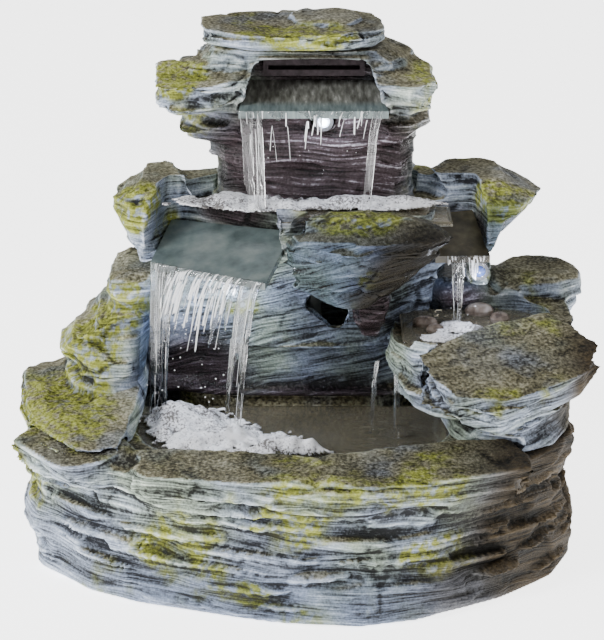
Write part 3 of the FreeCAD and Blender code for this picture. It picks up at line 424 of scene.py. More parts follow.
cast_rock, tree, shader = new_finish("cast_rock")
earth, wet, damp_and_shade = (attribute(tree, name) for name in ("earth", "wet", "damp_and_shade"))
streak = along_beds(tree, (19.0, 19.0, 430.0), 7.0)
hatch = along_beds(tree, (60.0, 60.0, 1000.0), 3.0)
band = along_beds(tree, (6.0, 6.0, 90.0), 4.0)
grain = speckle(tree, 520.0, 6.0)
blotch = speckle(tree, 22.0, 5.0)
lines = sum_of(tree, (streak, 1.30, -0.650), (hatch, 0.70, -0.350), (band, 0.40, -0.200),
               clamp=False)
lines = product_of(tree, lines, sum_of(tree, (earth, -0.65, 1.0)))
gravel = sum_of(tree, (speckle(tree, 340.0, 3.0), 1.3, -0.650), clamp=False)
gravel = product_of(tree, gravel, earth)
# The crest attribute holds the brushing on edges and painted light and shade on broad swells and
# hollows.
tone = sum_of(tree, (attribute(tree, "crest_and_shading"), 0.56, 0.05), (lines, 1.0, 0.0), (gravel, 1.0, 0.0),
              (grain, 0.55, -0.275), (blotch, 0.60, -0.290))
cool = ramp(tree, tone, (0.06, (0.012, 0.013, 0.017)), (0.22, (0.085, 0.095, 0.115)),
            (0.40, (0.200, 0.235, 0.300)), (0.58, (0.335, 0.385, 0.475)),
            (0.82, (0.64, 0.69, 0.77)))
sage = ramp(tree, tone, (0.06, (0.012, 0.013, 0.010)), (0.22, (0.085, 0.097, 0.080)),
            (0.40, (0.200, 0.240, 0.190)), (0.58, (0.350, 0.405, 0.330)),
            (0.82, (0.63, 0.67, 0.59)))
ochre = ramp(tree, tone, (0.06, (0.016, 0.014, 0.008)), (0.28, (0.085, 0.076, 0.044)),
             (0.50, (0.205, 0.190, 0.120)), (0.85, (0.46, 0.43, 0.32)))
green = ramp(tree, tone, (0.06, (0.030, 0.030, 0.005)), (0.30, (0.125, 0.135, 0.020)),
             (0.55, (0.290, 0.310, 0.055)), (0.85, (0.50, 0.52, 0.17)))
# Brown painted shade, laid where the shade attribute is, on the right sides of the castings.
painted_shade_brown = ramp(tree, tone, (0.06, (0.006, 0.005, 0.003)), (0.40, (0.040, 0.029, 0.016)),
             (0.85, (0.090, 0.062, 0.028)))
# The wet rock is dark, and the palest stop of this ramp paints glints of water on it.
wet_with_glints = ramp(tree, tone, (0.14, (0.004, 0.003, 0.003)), (0.40, (0.028, 0.019, 0.021)),
              (0.66, (0.072, 0.053, 0.060)), (0.95, (0.42, 0.39, 0.44)))
raised = spread(tree, coordinate(tree, "Z"), 0.02, 0.09, -0.10, 0.0)
tinted = sum_of(tree, (speckle(tree, 14.0), 1.0, 0.0), (raised, 1.0, 0.0))
colour = mix(tree, spread(tree, tinted, 0.42, 0.60), cool, sage)
dusted = spread(tree, blotch, 0.34, 0.52)
dusty = product_of(tree, sum_of(tree, (earth, 1.5, -0.85), (dusted, 0.65, 0.0)), earth)
colour = mix(tree, dusty, colour, ochre)
tufted = spread(tree, speckle(tree, 150.0, 5.0), 0.36, 0.58)
mossy = sum_of(tree, (product_of(tree, attribute(tree, "moss"), tufted), 1.4, 0.0))
colour = mix(tree, mossy, colour, green)
colour = mix(tree, attribute(tree, "shade"), colour, painted_shade_brown)
colour = mix(tree, wet, colour, wet_with_glints)
# Damp places and places of painted shade are both darkened towards blue here, and made glossier.
colour = mix(tree, damp_and_shade, colour, (0.31, 0.36, 0.47, 1.0), "MULTIPLY")
tree.links.new(colour, shader.inputs["Base Color"])
glossy = sum_of(tree, (wet, 1.0, 0.0), (damp_and_shade, 0.8, 0.0))
tree.links.new(spread(tree, glossy, 0.0, 1.0, 0.72, 0.14), shader.inputs["Roughness"])
all_over(shader, Specular_IOR_Level=0.20)
carved = sum_of(tree, (lines, 0.42, 0.5), (gravel, 0.35, 0.0), (grain, 0.25, -0.12))
relief(tree, shader, carved, 0.0040)

basin_moss = [((-0.235, -0.03, 0.09), (0.05, 0.09, 0.05)),
              ((-0.10, -0.14, 0.05), (0.07, 0.06, 0.05)),
              ((-0.02, -0.16, 0.075), (0.07, 0.05, 0.03)),
              ((0.115, -0.14, 0.050), (0.055, 0.06, 0.030)),
              ((-0.05, -0.16, 0.025), (0.05, 0.05, 0.02)),
              ((0.06, -0.115, 0.12), (0.14, 0.06, 0.03), 0.45),
              ((-0.21, -0.06, 0.115), (0.05, 0.08, 0.03), 0.7)]
# Brown painted shade on the basin's right side.
basin_shade = [((0.26, 0.02, 0.05), (0.17, 0.26, 0.18)),
               ((0.25, -0.07, 0.05), (0.18, 0.16, 0.16)),
               ((0.22, -0.10, 0.06), (0.13, 0.14, 0.16)),
               ((0.19, -0.13, 0.02), (0.14, 0.08, 0.06), 0.8)]
# Painted shade: the basin is darkened towards blue at its foot, its front and its right.
basin_painted_shade = [((0.02, -0.14, 0.0), (0.30, 0.12, 0.060), 0.62),
              ((0.05, -0.16, 0.06), (0.14, 0.08, 0.08), 0.20),
              ((0.17, -0.12, 0.06), (0.10, 0.10, 0.11), 0.30)]
basin_silt = [((-0.01, 0.02, 0.05), (0.20, 0.13, 0.10))]
# Painted light inside the tub: its floor is made paler where little light reaches it.
basin_painted_light = [((0.0, 0.02, 0.055), (0.20, 0.12, 0.10), 0.35)]
basin_scoops = [((-0.050, -0.16, 0.080), (0.050, 0.06, 0.026), 0.009),
                ((-0.130, -0.14, 0.042), (0.060, 0.06, 0.026), 0.008),
                ((0.025, -0.16, 0.052), (0.045, 0.05, 0.024), 0.007),
                ((0.095, -0.16, 0.085), (0.050, 0.05, 0.018), 0.007),
                ((-0.190, -0.11, 0.078), (0.050, 0.06, 0.030), 0.007),
                ((0.150, -0.13, 0.040), (0.045, 0.05, 0.020), 0.006),
                ((0.235, 0.00, 0.060), (0.04, 0.030, 0.06), 0.008),
                ((0.225, -0.08, 0.070), (0.04, 0.030, 0.04), 0.007)]
basin_groove = [((0.03, 0.148, 0.090), (0.10, 0.012, 0.020), 0.004)]
carve("basin", voxel=0.0029, seed=11, dip=(0.06, 0.05), ledges=0.0026, breaks=0.0045, folds=0.007,
      worn=15, brush=-0.02, axis=(0.0, 0.03), moss=basin_moss, damp_and_shade=basin_painted_shade, shade=basin_shade,
      silt=basin_silt, pale=basin_painted_light, scoops=basin_scoops, thin_walls=basin_groove)


# Pump tower
# A hollow casting in two parts: a column on the basin's rim, which carries the tiers, and a foot
# in the tub round the pump, with the opening for the intake. The column's front is the back wall
# of the wide fall, so it is always wet there.
tower_axis = (0.01, 0.098)
tower_wet = [((-0.09, 0.03, 0.13), (0.07, 0.09, 0.07)), ((0.02, 0.03, 0.11), (0.14, 0.07, 0.035))]
tower_damp = [((0.0, 0.03, 0.18), (0.18, 0.10, 0.10), 0.47)]
back_seam = ((0.0, 0.14, 0.238), (0.20, 0.06, 0.022))
tower_sound = [((-0.140, 0.07, 0.18), (0.07, 0.18, 0.22)), back_seam]
tower_swells = [((-0.130, 0.05, 0.165), (0.04, 0.08, 0.06), 0.008)]
carve("pump_tower", voxel=0.0024, seed=23, dip=(-0.16, 0.0), axis=tower_axis, wet=tower_wet,
      damp_and_shade=tower_damp, sound=tower_sound, swells=tower_swells)
foot_silt = [((0.0, 0.05, 0.06), (0.30, 0.30, 0.15))]
carve("tower_foot", voxel=0.0030, seed=27, axis=tower_axis, silt=foot_silt)


# Left-hand rock
# Three stepped ledges cast in one piece and set on the basin's rim. They are brushed pale, with
# moss on their tops, and the fall beside them keeps their right side damp.
left_moss = [((-0.20, 0.0, 0.15), (0.07, 0.12, 0.06)), ((-0.17, 0.06, 0.20), (0.05, 0.06, 0.03))]
left_damp = [((-0.125, 0.03, 0.17), (0.025, 0.06, 0.06))]
left_sound = [((-0.125, 0.06, 0.17), (0.05, 0.16, 0.18))]
carve("left_rock", voxel=0.0021, seed=31, dip=(0.12, 0.05), ledges=0.007, breaks=0.008, worn=5,
      brush=0.21, moss=left_moss, damp_and_shade=left_damp, sound=left_sound)


# Right-hand tier and flat stone
# The tier is a bowl with a ledge behind it, and the flat stone closes it at the front.
# The water has worn the bowl smooth and dark, and both have brown painted shade at their right
# ends.
right_wet = [((0.14, 0.03, 0.20), (0.085, 0.075, 0.035))]
# Brown painted shade at the right end of the tier.
right_shade = [((0.25, -0.02, 0.15), (0.06, 0.12, 0.08))]
right_pale = [((0.10, -0.01, 0.165), (0.08, 0.08, 0.05), 0.20)]
right_damp = [((0.13, 0.10, 0.225), (0.06, 0.06, 0.04))]
right_swells = [((0.128, 0.105, 0.215), (0.05, 0.045, 0.05), 0.026)]
carve("right_tier", voxel=0.0024, seed=41, dip=(-0.10, 0.05), axis=(0.16, 0.04), wet=right_wet,
      damp_and_shade=right_damp, shade=right_shade, pale=right_pale, swells=right_swells)
stone_sound = [((0.235, -0.02, 0.18), (0.07, 0.14, 0.06))]
# Brown painted shade at the right end of the flat stone.
stone_shade = [((0.25, -0.02, 0.17), (0.06, 0.12, 0.05))]
carve("flat_stone", voxel=0.0020, seed=47, dip=(-0.12, 0.10), ledges=0.004, breaks=0.005,
      folds=0.003, worn=5, brush=0.06, shade=stone_shade, sound=stone_sound)


# Middle tier
# The bowl of the middle pool, cast with a bank at each end. The neck of the head stands in it,
# and two slates let the water out of it, to the left and to the right.
middle_wet = [((0.01, 0.05, 0.29), (0.13, 0.06, 0.02)), ((-0.07, 0.06, 0.275), (0.06, 0.05, 0.02)),
              ((0.13, 0.06, 0.265), (0.04, 0.05, 0.03))]
middle_damp = [((-0.105, 0.05, 0.27), (0.03, 0.06, 0.05)),
               ((0.16, 0.03, 0.265), (0.06, 0.05, 0.05))]
middle_moss = [((-0.15, 0.06, 0.29), (0.04, 0.06, 0.03)), ((0.17, 0.07, 0.29), (0.05, 0.05, 0.02))]
carve("middle_tier", voxel=0.0024, seed=53, dip=(0.05, 0.04), brush=0.20, axis=(0.015, 0.07),
      moss=middle_moss, wet=middle_wet, damp_and_shade=middle_damp, sound=[back_seam])


# Front boulder and prop
# A wedge-shaped casting that closes the middle pool at the front, bonded on, with a block under
# it. Splashes keep both damp. The boulder has painted shade over its front, darkest at its lower
# right, and brown painted shade on its right side.
boulder_moss = [((0.04, -0.01, 0.295), (0.06, 0.03, 0.015)),
                ((0.06, -0.04, 0.245), (0.03, 0.03, 0.02))]
# Painted shade over the boulder's front, strongest at its lower right, with the gloss of damp.
boulder_damp_and_shade = [((0.06, -0.05, 0.245), (0.22, 0.14, 0.070)),
                ((0.12, -0.01, 0.245), (0.08, 0.09, 0.08)),
                ((0.10, -0.03, 0.230), (0.09, 0.09, 0.055), 1.25)]
boulder_shade = [((0.110, -0.03, 0.245), (0.09, 0.12, 0.070)),
                 ((0.08, -0.01, 0.225), (0.06, 0.07, 0.03))]
carve("front_boulder", voxel=0.0018, seed=61, dip=(-0.28, 0.10), brush=0.05, moss=boulder_moss,
      damp_and_shade=boulder_damp_and_shade, shade=boulder_shade)
prop_wet = [((0.057, 0.0, 0.20), (0.05, 0.06, 0.05))]
carve("prop_stone", voxel=0.0019, seed=67, wet=prop_wet)


# Head and cap
# The top casting has the neck, the alcove that the water comes from and the two shoulder blocks.
# The cap is a slab with a thinner leaf on it, bonded on last so that the hose can be reached.
head_wet = [((0.01, 0.05, 0.325), (0.15, 0.12, 0.085)), ((0.01, 0.085, 0.40), (0.08, 0.05, 0.035))]
head_moss = [((-0.11, 0.05, 0.40), (0.04, 0.05, 0.02)), ((-0.10, 0.06, 0.355), (0.03, 0.05, 0.02))]
head_corner = [((0.088, 0.130, 0.330), (0.05, 0.05, 0.056), 0.004),
               ((0.08, 0.135, 0.400), (0.03, 0.03, 0.016), 0.004)]
carve("top_tower", voxel=0.0024, seed=71, dip=(0.05, 0.03), brush=0.23, axis=(0.01, 0.1),
      moss=head_moss, wet=head_wet, thin_walls=head_corner)
cap_moss = [((0.0, 0.06, 0.435), (0.07, 0.04, 0.02))]
carve("cap_stone", voxel=0.0019, seed=79, dip=(-0.05, 0.06), brush=0.12, moss=cap_moss)


# Access panel
# A rear panel cast in the same rock, with a grip to pull it off by. Its spigot fills the opening
# and is left almost plain, so that it slides in and out.
panel_low, panel_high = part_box("access_panel")
spigot = ((panel_low[0] + panel_high[0]) / 2, panel_low[1], (panel_low[2] + panel_high[2]) / 2)
spigot_reach = (0.30, 2 * (panel_high[1] - panel_low[1] - 0.004), 0.30)
carve("access_panel", voxel=0.0016, seed=83, dip=(0.08, 0.0), ledges=0.002, breaks=0.002,
      folds=0.0, brush=0.06, sound=[(spigot, spigot_reach)], body="access_panel")


# Spill slates
# Smooth flat plates, tinted grey-green and set in the castings. A film of water keeps them
# glossy. The top one is rippled and stained behind its lip, and the right-hand one is brown.
tree, shader = speckled(
    "spill_slate", (60.0, 6.0),
    [(0.25, (0.050, 0.066, 0.066)), (0.5, (0.100, 0.130, 0.128)), (0.8, (0.175, 0.205, 0.190))],
    (0.12, 0.32), ["middle_spill_slate"])
relief(tree, shader, speckle(tree, 240.0), 0.0006, 0.5)
all_over(shader, Coat_Weight=0.6, Coat_Roughness=0.08)
rippled, tree, shader = new_finish("rippled_slate")
ripple = speckle(tree, 1.0, 5.0, (260.0, 60.0, 60.0))
film = spread(tree, coordinate(tree, "Y"), 0.044, 0.054)
teal = ramp(tree, ripple, (0.3, (0.075, 0.100, 0.104)), (0.7, (0.190, 0.235, 0.230)))
stain = ramp(tree, ripple, (0.3, (0.060, 0.058, 0.048)), (0.5, (0.135, 0.135, 0.118)),
             (0.75, (0.30, 0.30, 0.27)))
tree.links.new(mix(tree, film, teal, stain), shader.inputs["Base Color"])
tree.links.new(spread(tree, ripple, 0.0, 1.0, 0.12, 0.35), shader.inputs["Roughness"])
relief(tree, shader, ripple, 0.0012, 0.7)
dress(["top_spill_slate"], rippled)
tree, shader = speckled(
    "stained_slate", (70.0, 6.0),
    [(0.25, (0.016, 0.013, 0.008)), (0.5, (0.052, 0.044, 0.026)), (0.8, (0.12, 0.105, 0.062))],
    (0.12, 0.32), ["right_spill_slate"])
relief(tree, shader, speckle(tree, 240.0), 0.0006, 0.5)


# Pebbles
# Loose river stones, brown and grey, laid on the floor of the right-hand pool.
# The water over them keeps them dark and glossy.
tree, shader = speckled(
    "pebble", (90.0, 6.0),
    [(0.3, (0.045, 0.032, 0.026)), (0.5, (0.15, 0.115, 0.090)), (0.75, (0.36, 0.33, 0.31))],
    (0.2, 0.4), ["pool_pebbles"])
relief(tree, shader, speckle(tree, 500.0), 0.0004, 0.5)


# Pump, hose and spreader
# The pump's block, cover, nozzle, dial and wheel are moulded in black plastic with a fine grain.
# The hose is clear vinyl, its clips are nylon, and the rotor is ferrite on a ceramic shaft.
tree, shader = speckled(
    "pump_plastic", (260.0, 4.0), [(0.3, (0.010, 0.010, 0.011)), (0.8, (0.030, 0.030, 0.032))],
    (0.35, 0.55), ["pump_block", "pump_cover", "pump_nozzle", "flow_dial", "rotor_vanes",
                   "lamp_housing_top", "lamp_housing_middle", "lamp_housing_right",
                   "shaft_bushes"])
relief(tree, shader, speckle(tree, 1600.0, 2.0), 0.0002, 0.4)
tree, shader = speckled(
    "dull_plastic", (260.0, 4.0), [(0.3, (0.012, 0.008, 0.009)), (0.8, (0.040, 0.030, 0.034))],
    (0.6, 0.8), ["outlet_spreader"])
all_over(shader, Specular_IOR_Level=0.15)
tree, shader = speckled(
    "clear_hose", (120.0, 4.0), [(0.3, (0.66, 0.70, 0.68)), (0.8, (0.80, 0.84, 0.83))],
    (0.12, 0.25), ["riser_hose"])
all_over(shader, Transmission_Weight=0.6)
speckled("clip_plastic", (200.0, 4.0), [(0.3, (0.66, 0.66, 0.63)), (0.8, (0.80, 0.80, 0.78))],
         (0.35, 0.5), ["hose_clips"])
speckled("ferrite", (700.0, 4.0), [(0.3, (0.03, 0.03, 0.033)), (0.8, (0.085, 0.085, 0.09))],
         (0.4, 0.6), ["rotor_magnet"])
speckled("white_ceramic", (300.0, 4.0), [(0.3, (0.74, 0.73, 0.70)), (0.8, (0.84, 0.83, 0.81))],
         (0.12, 0.2), ["rotor_shaft"])


# Lamps
# Sealed lamps with a clear domed lens and a cool white light, one behind each fall, held in the
# castings by rubber seals. The top one shows its light, the others look blue behind the water.
tree, shader = speckled(
    "lamp_glass", (900.0, 2.0), [(0.3, (0.82, 0.88, 1.0)), (0.8, (0.95, 0.97, 1.0))],
    (0.05, 0.12), ["lamp_lens_top"])
all_over(shader, Emission_Color=(0.50, 0.64, 1.0, 1.0), Emission_Strength=1.8)
tree, shader = speckled(
    "lamp_glass_dim", (900.0, 2.0), [(0.3, (0.03, 0.05, 0.14)), (0.8, (0.10, 0.14, 0.30))],
    (0.05, 0.12), ["lamp_lens_middle", "lamp_lens_right"])
all_over(shader, Emission_Color=(0.22, 0.34, 1.0, 1.0), Emission_Strength=0.35)
lamp_powers = {(0.018, 0.044, 0.361): 0.08, (-0.062, 0.030, 0.222): 0.36,
               (0.150, 0.026, 0.226): 0.10}
for place, power in lamp_powers.items():
    beam = bpy.data.lights.new("lamp_light", "POINT")
    beam.energy = power
    beam.color = (0.80, 0.86, 1.0)
    beam.shadow_soft_size = 0.004
    lamp = bpy.data.objects.new("lamp_light", beam)
    lamp.location = place
    bpy.context.collection.objects.link(lamp)


# Pool water
# Water in the tub, the middle bowl and the right-hand bowl, slightly milky and tinted by the
# silt. It is still, apart from the rings where the falls land.

def water_finish(name, milk, tint=(1.0, 1.0, 1.0)):
    finish, tree, shader = new_finish(name)
    froth = speckle(tree, 500.0, 5.0, (1.0, 1.0, 0.35))
    pale = tuple(0.94 * part for part in tint)
    wear(tree, shader, froth, [(0.35, pale), (0.75, tint)], (0.0, 0.06))
    all_over(shader, Transmission_Weight=1.0 - milk, IOR=1.333)
    relief(tree, shader, speckle(tree, 130.0, 3.0), 0.0006, 0.4)
    return finish


def finished(name, form, finish):
    mesh = bpy.data.meshes.new(name)
    form.to_mesh(mesh)
    form.free()
    for face in mesh.polygons:
        face.use_smooth = True
    mesh.materials.append(finish)
    piece = bpy.data.objects.new(name, mesh)
    bpy.context.collection.objects.link(piece)
    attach(piece, "fountain")


def pool(name, low, high, level, depth, landings, keep=None, outlet=None):
    """A slab of water between two plan corners, with rings round the places where a fall lands.

    It is only where keep says so, and sinks by its own depth where it runs out, between two
    places along X."""
    water = bmesh.new()
    step, ring_width, ring_reach = 0.0035, 0.0022, 0.03
    columns, rows = (int((high[i] - low[i]) / step) for i in (0, 1))
    bmesh.ops.create_grid(water, x_segments=columns, y_segments=rows, size=0.5)
    for vertex in water.verts:
        x = low[0] + (vertex.co.x + 0.5) * (high[0] - low[0])
        y = low[1] + (vertex.co.y + 0.5) * (high[1] - low[1])
        swell = 0.0
        for place, strength in landings:
            away = math.hypot(x - place[0], y - place[1])
            swell += strength * math.cos(away / ring_width) * math.exp(-away / ring_reach)
        sunk = 0.0
        if outlet:
            sunk = min(max((x - outlet[0]) / (outlet[1] - outlet[0]), 0.0), 1.0)
        vertex.co = (x, y, level + swell - depth * sunk)
    if keep:
        outside = [face for face in water.faces if not keep(*face.calc_center_median().xy)]
        bmesh.ops.delete(water, geom=outside, context="FACES")
    bmesh.ops.recalc_face_normals(water, faces=water.faces)
    if sum(face.normal.z for face in water.faces) < 0:
        bmesh.ops.reverse_faces(water, faces=water.faces)
    bmesh.ops.solidify(water, geom=water.faces, thickness=depth)
    finished(name, water, pool_water)


pool_water = water_finish("pool_water", 0.07, (0.80, 0.74, 0.58))
pool("lower_pool", (-0.140, -0.088), (0.124, 0.052), level=0.108, depth=0.004,
     landings=[((-0.130, 0.045), 0.0012), ((-0.062, -0.002), 0.0012), ((0.057, -0.007), 0.0006),
               ((0.08, -0.007), 0.0005)])
pool("middle_pool", (-0.098, 0.012), (0.124, 0.060), level=0.2895, depth=0.003,
     landings=[((-0.045, 0.032), 0.0008), ((0.06, 0.034), 0.0006)], outlet=(0.090, 0.112),
     keep=lambda x, y: not (x < -0.008 and y < 0.048 - (x + 0.008) * 0.44))
pool("right_pool", (0.080, -0.030), (0.205, 0.074), level=0.1892, depth=0.0025,
     landings=[((0.131, 0.034), 0.0010), ((0.16, 0.03), 0.0008)],
     keep=lambda x, y: x > 0.083 + 0.9 * max(0.0, -0.004 - y))


# Falls
# Water leaves each slate as a glassy sheet, which tears into strands and drops on the way down.
# Clear threads and short white ones hang among the sheets. The white ones are partly aerated
# water and partly painted highlights.

def path(lip, landing, across, time):
    """Where the water is: it moves evenly away from the lip and drops ever faster."""
    top = np.outer(1 - across, lip[0]) + np.outer(across, lip[1])
    foot = np.outer(1 - across, landing[0]) + np.outer(across, landing[1])
    return top + (foot - top) * np.stack([time, time, time ** 2], axis=1)


def sheet(name, lip, landing, columns, gap, seed):
    """A thin sheet with upright ridges. Its gaps widen downwards, from one share to the other."""
    rows, ridge, film = 44, 0.0035, 0.0007
    water = bmesh.new()
    bmesh.ops.create_grid(water, x_segments=columns, y_segments=rows, size=0.5)
    flat = np.array([vertex.co for vertex in water.verts])
    across, down = flat[:, 0] + 0.5, 0.5 - flat[:, 1]
    place = path(lip, landing, across, down ** 0.7)
    strand = np.column_stack([across * columns / 4, 1.6 * down, 0 * down])
    place[:, 1] -= ridge * (lumps(strand, 1.0, seed) - 0.5) * (0.3 + down)
    for vertex, point in zip(water.verts, place):
        vertex.co = point
    full = lumps(strand * (1.0, 1.8, 1.0), 1.0, seed + 2) - gap[0] - (gap[1] - gap[0]) * down
    water.verts.index_update()
    torn = [face for face in water.faces if np.mean([full[v.index] for v in face.verts]) < 0]
    bmesh.ops.delete(water, geom=torn, context="FACES")
    bmesh.ops.smooth_vert(water, verts=water.verts, factor=0.5,
                          use_axis_x=True, use_axis_y=True, use_axis_z=True)
    bmesh.ops.solidify(water, geom=water.faces, thickness=film)
    finished(name, water, clear_water)


def strands(name, lip, landing, count, thickness, seed, finish, starts=(0.0, 0.0),
            lengths=(0.75, 1.0)):
    """Threads of water that thin out as they drop, with loose drops among them.

    They start and end at shares of the time that the fall takes."""
    water = bmesh.new()
    chance = np.random.default_rng(seed)
    rows, sides, flatness = 26, 6, 0.6
    turn = np.arange(sides) * 2 * math.pi / sides
    for _ in range(count):
        begin = chance.uniform(*starts)
        time = begin + np.linspace(0, 1, rows) ** 0.8 * chance.uniform(*lengths)
        time = np.minimum(time, 1.0)
        across = chance.uniform(0, 1) + 0.12 * chance.uniform(-1, 1) * (time - begin)
        line = path(lip, landing, np.clip(across, 0, 1), time)
        pinch = 0.55 + 0.45 * np.sin(chance.uniform(0, 6) + chance.uniform(5, 12) * time)
        radius = thickness * chance.uniform(0.35, 1.0) * (1.1 - 0.6 * time) * (0.4 + 0.6 * pinch)
        radius[-1] = 0.1 * radius[-1]
        rings = []
        for (x, y, z), reach in zip(line, radius):
            ring = [(x + reach * math.cos(a), y + flatness * reach * math.sin(a), z) for a in turn]
            rings.append([water.verts.new(corner) for corner in ring])
        for upper, lower in zip(rings, rings[1:]):
            for i in range(sides):
                after = (i + 1) % sides
                water.faces.new((upper[i], lower[i], lower[after], upper[after]))
        water.faces.new(rings[0])
        water.faces.new(rings[-1][::-1])
    for _ in range(count // 2):
        across, time = chance.uniform(0, 1), chance.uniform(0.5, 1.0)
        place = path(lip, landing, np.array([across]), np.array([time]))[0]
        size = thickness * chance.uniform(0.3, 0.6)
        drop = bmesh.ops.create_icosphere(water, subdivisions=2, radius=size)
        bmesh.ops.translate(water, verts=drop["verts"], vec=place + chance.normal(0, 0.002, 3))
    bmesh.ops.recalc_face_normals(water, faces=water.faces)
    finished(name, water, finish)


clear_water = water_finish("clear_water", 0.0)
# The white water is partly aerated water and partly painted highlights on the falls.
white_water_and_glints = water_finish("white_water_and_glints", 0.75)
# Each fall has the ends of its lip, the ends of its landing, a number of threads and their size.
falls = {
    "left_fall_outer": (((-0.126, 0.034, 0.2455), (-0.103, 0.021, 0.2455)),
                        ((-0.130, 0.024, 0.109), (-0.116, 0.014, 0.109)), 20, 0.0013),
    "left_fall_inner": (((-0.047, -0.010, 0.2455), (-0.031, -0.020, 0.2455)),
                        ((-0.066, -0.014, 0.109), (-0.052, -0.022, 0.109)), 16, 0.0012),
    "top_fall_left": (((-0.052, 0.034, 0.3755), (-0.034, 0.034, 0.3755)),
                      ((-0.047, 0.027, 0.291), (-0.030, 0.027, 0.291)), 13, 0.0011),
    "top_fall_right": (((0.060, 0.034, 0.3755), (0.068, 0.034, 0.3755)),
                       ((0.050, 0.028, 0.291), (0.056, 0.028, 0.291)), 7, 0.0009),
    "right_fall": (((0.124, 0.038, 0.2495), (0.139, 0.039, 0.2495)),
                   ((0.128, 0.030, 0.190), (0.134, 0.030, 0.190)), 9, 0.0010),
    "spill_left": (((0.062, -0.006, 0.172), (0.065, -0.006, 0.172)),
                   ((0.056, -0.010, 0.109), (0.060, -0.010, 0.109)), 6, 0.0009),
    "spill_right": (((0.076, -0.020, 0.165), (0.079, -0.020, 0.165)),
                    ((0.077, -0.024, 0.109), (0.081, -0.024, 0.109)), 5, 0.0007)}
for number, (name, (lip, landing, count, thickness)) in enumerate(falls.items()):
    strands(name + "_clear", lip, landing, count // 3, 0.8 * thickness, 40 + number, clear_water)
    strands(name + "_white", lip, landing, count, 0.45 * thickness, 60 + number, white_water_and_glints,
            starts=(0.0, 0.85), lengths=(0.06, 0.26))
    for layer, letter in enumerate("ab"):
        back = np.array([0.0, 0.003 * layer, 0.0])
        sheet(name + "_sheet_" + letter, np.add(lip, back), np.add(landing, back), columns=14,
              gap=(0.05, 0.55), seed=80 + 20 * layer + number)
veils = {
    "left_fall_veil": (((-0.104, 0.021, 0.2455), (-0.046, -0.011, 0.2455)),
                       ((-0.136, 0.014, 0.109), (-0.074, -0.016, 0.109)), 64, 0.0013),
    "top_fall_veil": (((-0.034, 0.034, 0.3755), (0.060, 0.034, 0.3755)),
                      ((-0.030, 0.029, 0.291), (0.050, 0.029, 0.291)), 26, 0.0007),
    "right_fall_veil": (((0.122, 0.037, 0.2495), (0.156, 0.039, 0.2495)),
                        ((0.124, 0.030, 0.190), (0.156, 0.032, 0.190)), 22, 0.0010)}
for number, (name, (lip, landing, count, thickness)) in enumerate(veils.items()):
    strands(name + "_white", lip, landing, count, thickness, 95 + number, white_water_and_glints,
            starts=(0.0, 0.40), lengths=(0.08, 0.34))
    sheet(name + "_sheet", lip, landing, columns=2 * count, gap=(0.40, 1.25), seed=120 + number)


# Foam
# Froth of fine bubbles where the falls land, drawn out along the pools by the current.
# It is white, with dark gaps between the bubbles.
foam_finish, tree, shader = new_finish("foam")
cells = add(tree, "TexVoronoi", Vector=own_place(tree), Scale=620.0).outputs["Distance"]
bubbles = sum_of(tree, (cells, 0.55, 0.0), (speckle(tree, 420.0), 1.5, -0.55),
                 (speckle(tree, 40.0, 2.0), 1.6, -0.80))
wear(tree, shader, bubbles,
     [(0.30, (0.86, 0.86, 0.88)), (0.55, (0.62, 0.62, 0.65)), (0.78, (0.12, 0.11, 0.105))],
     (0.35, 0.6))
relief(tree, shader, bubbles, 0.0012, -0.8)
all_over(shader, Subsurface_Weight=0.25, Subsurface_Radius=(0.003, 0.003, 0.003))


def foam(name, level, drifts, seed, height):
    """Froth on the water, thick in the middle of each drift and ragged at its edge.

    A drift is the X and Y of its middle and its reach along each."""
    step, margin, film, thinnest = 0.0014, 0.01, 0.0012, 0.10
    froth = bmesh.new()
    sides = np.array([(x - a, x + a, y - b, y + b) for x, y, a, b in drifts])
    low, high = sides[:, [0, 2]].min(0) - margin, sides[:, [1, 3]].max(0) + margin
    columns, rows = ((high - low) / step).astype(int)
    bmesh.ops.create_grid(froth, x_segments=columns, y_segments=rows, size=0.5)
    flat = np.array([vertex.co for vertex in froth.verts])
    place = np.column_stack([low + (flat[:, :2] + 0.5) * (high - low), np.zeros(len(flat))])
    body = np.full(len(flat), -1.0)
    for x, y, a, b in drifts:
        body = np.maximum(body, 1 - np.hypot((place[:, 0] - x) / a, (place[:, 1] - y) / b))
    body += 0.50 * (lumps(place, 0.020, seed) - 0.5) + 0.34 * (lumps(place, 0.0095, seed + 5) - 0.5)
    body += 0.26 * (lumps(place, 0.0050, seed + 1) - 0.5) * (1 - between(0.15, 0.45, body))
    rise = height * between(0.0, 0.9, body) * (0.5 + lumps(place, 0.022, seed + 2))
    rise += 0.0026 * lumps(place, 0.0075, seed + 3) + 0.0009 * lumps(place, 0.0030, seed + 4)
    for vertex, point, up in zip(froth.verts, place, rise):
        vertex.co = (point[0], point[1], level + up)
    froth.verts.index_update()
    bare = [face for face in froth.faces if min(body[v.index] for v in face.verts) < thinnest]
    bmesh.ops.delete(froth, geom=bare, context="FACES")
    bmesh.ops.solidify(froth, geom=froth.faces, thickness=film)
    finished(name, froth, foam_finish)


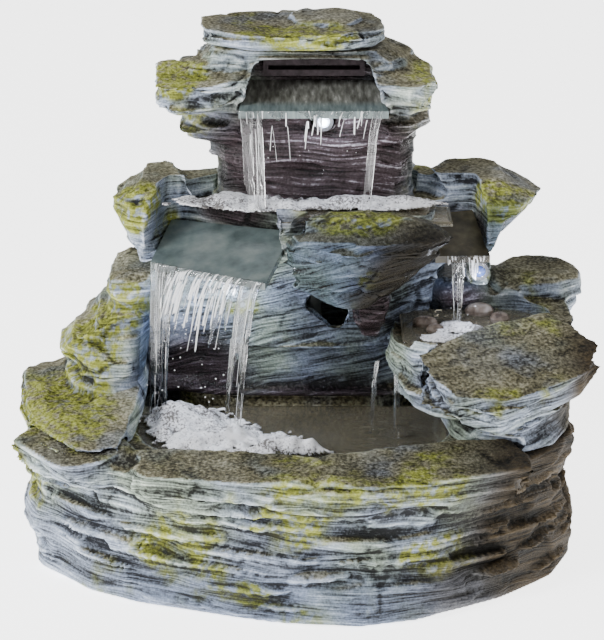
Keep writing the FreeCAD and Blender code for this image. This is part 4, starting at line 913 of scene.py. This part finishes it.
foam("lower_foam", level=0.1085, seed=5, height=0.014,
     drifts=[(-0.098, 0.008, 0.050, 0.036), (-0.064, -0.030, 0.058, 0.028),
             (-0.020, -0.056, 0.060, 0.011)])
foam("middle_foam_left", level=0.2898, seed=15, height=0.007,
     drifts=[(-0.052, 0.054, 0.066, 0.020), (-0.030, 0.040, 0.052, 0.015)])
foam("middle_foam_right", level=0.2898, seed=25, height=0.006,
     drifts=[(0.058, 0.046, 0.070, 0.019)])
foam("right_foam", level=0.1894, seed=35, height=0.0025,
     drifts=[(0.132, 0.022, 0.020, 0.014), (0.120, 0.000, 0.022, 0.012)])


# Floor, light and camera
# A plain pale floor, a large soft light from the front left, a weak one from the right and a
# white sky. The camera looks down on the fountain from the front, from far off.
bpy.ops.mesh.primitive_plane_add(size=40.0)
floor = bpy.context.object
floor.name = "floor"
floor_finish, tree, shader = new_finish("pale_floor")
wear(tree, shader, speckle(tree, 2.0), [(0.3, (0.90, 0.90, 0.90)), (0.8, (0.92, 0.92, 0.92))],
     (0.6, 0.7))
all_over(shader, Emission_Color=(1.0, 1.0, 1.0, 1.0), Emission_Strength=3.4)
floor.data.materials.append(floor_finish)


def turned_to(place, aim):
    return (Vector(aim) - Vector(place)).to_track_quat("-Z", "Y").to_euler()


def soft_light(name, place, size, power, colour):
    lamp = bpy.data.lights.new(name, "AREA")
    lamp.shape = "DISK"
    lamp.size = size
    lamp.energy = power
    lamp.color = colour
    made = bpy.data.objects.new(name, lamp)
    made.location = place
    made.rotation_euler = turned_to(place, (0.0, 0.0, 0.2))
    bpy.context.collection.objects.link(made)


soft_light("key", (-1.6, -1.1, 1.3), size=0.7, power=54.0, colour=(0.95, 0.97, 1.0))
soft_light("fill", (1.5, -0.9, 0.9), size=1.2, power=2.0, colour=(1.0, 0.90, 0.78))
sky = bpy.data.worlds.new("sky")
sky.use_nodes = True
all_over(sky.node_tree.nodes["Background"], Color=(1.0, 1.0, 1.0, 1.0), Strength=0.55)
bpy.context.scene.world = sky

focal_pixels, picture_pixels, sensor = 2290, 640, 36.0
view = bpy.data.cameras.new("front")
view.lens = focal_pixels * sensor / picture_pixels
view.sensor_width = sensor
camera = bpy.data.objects.new("front", view)
aim = Vector((0.0, 0.0, 0.206))
elevation, distance = math.radians(20.0), 1.9
camera.location = aim + distance * Vector((0.0, -math.cos(elevation), math.sin(elevation)))
camera.rotation_euler = turned_to(camera.location, aim)
bpy.context.collection.objects.link(camera)
bpy.context.scene.camera = camera
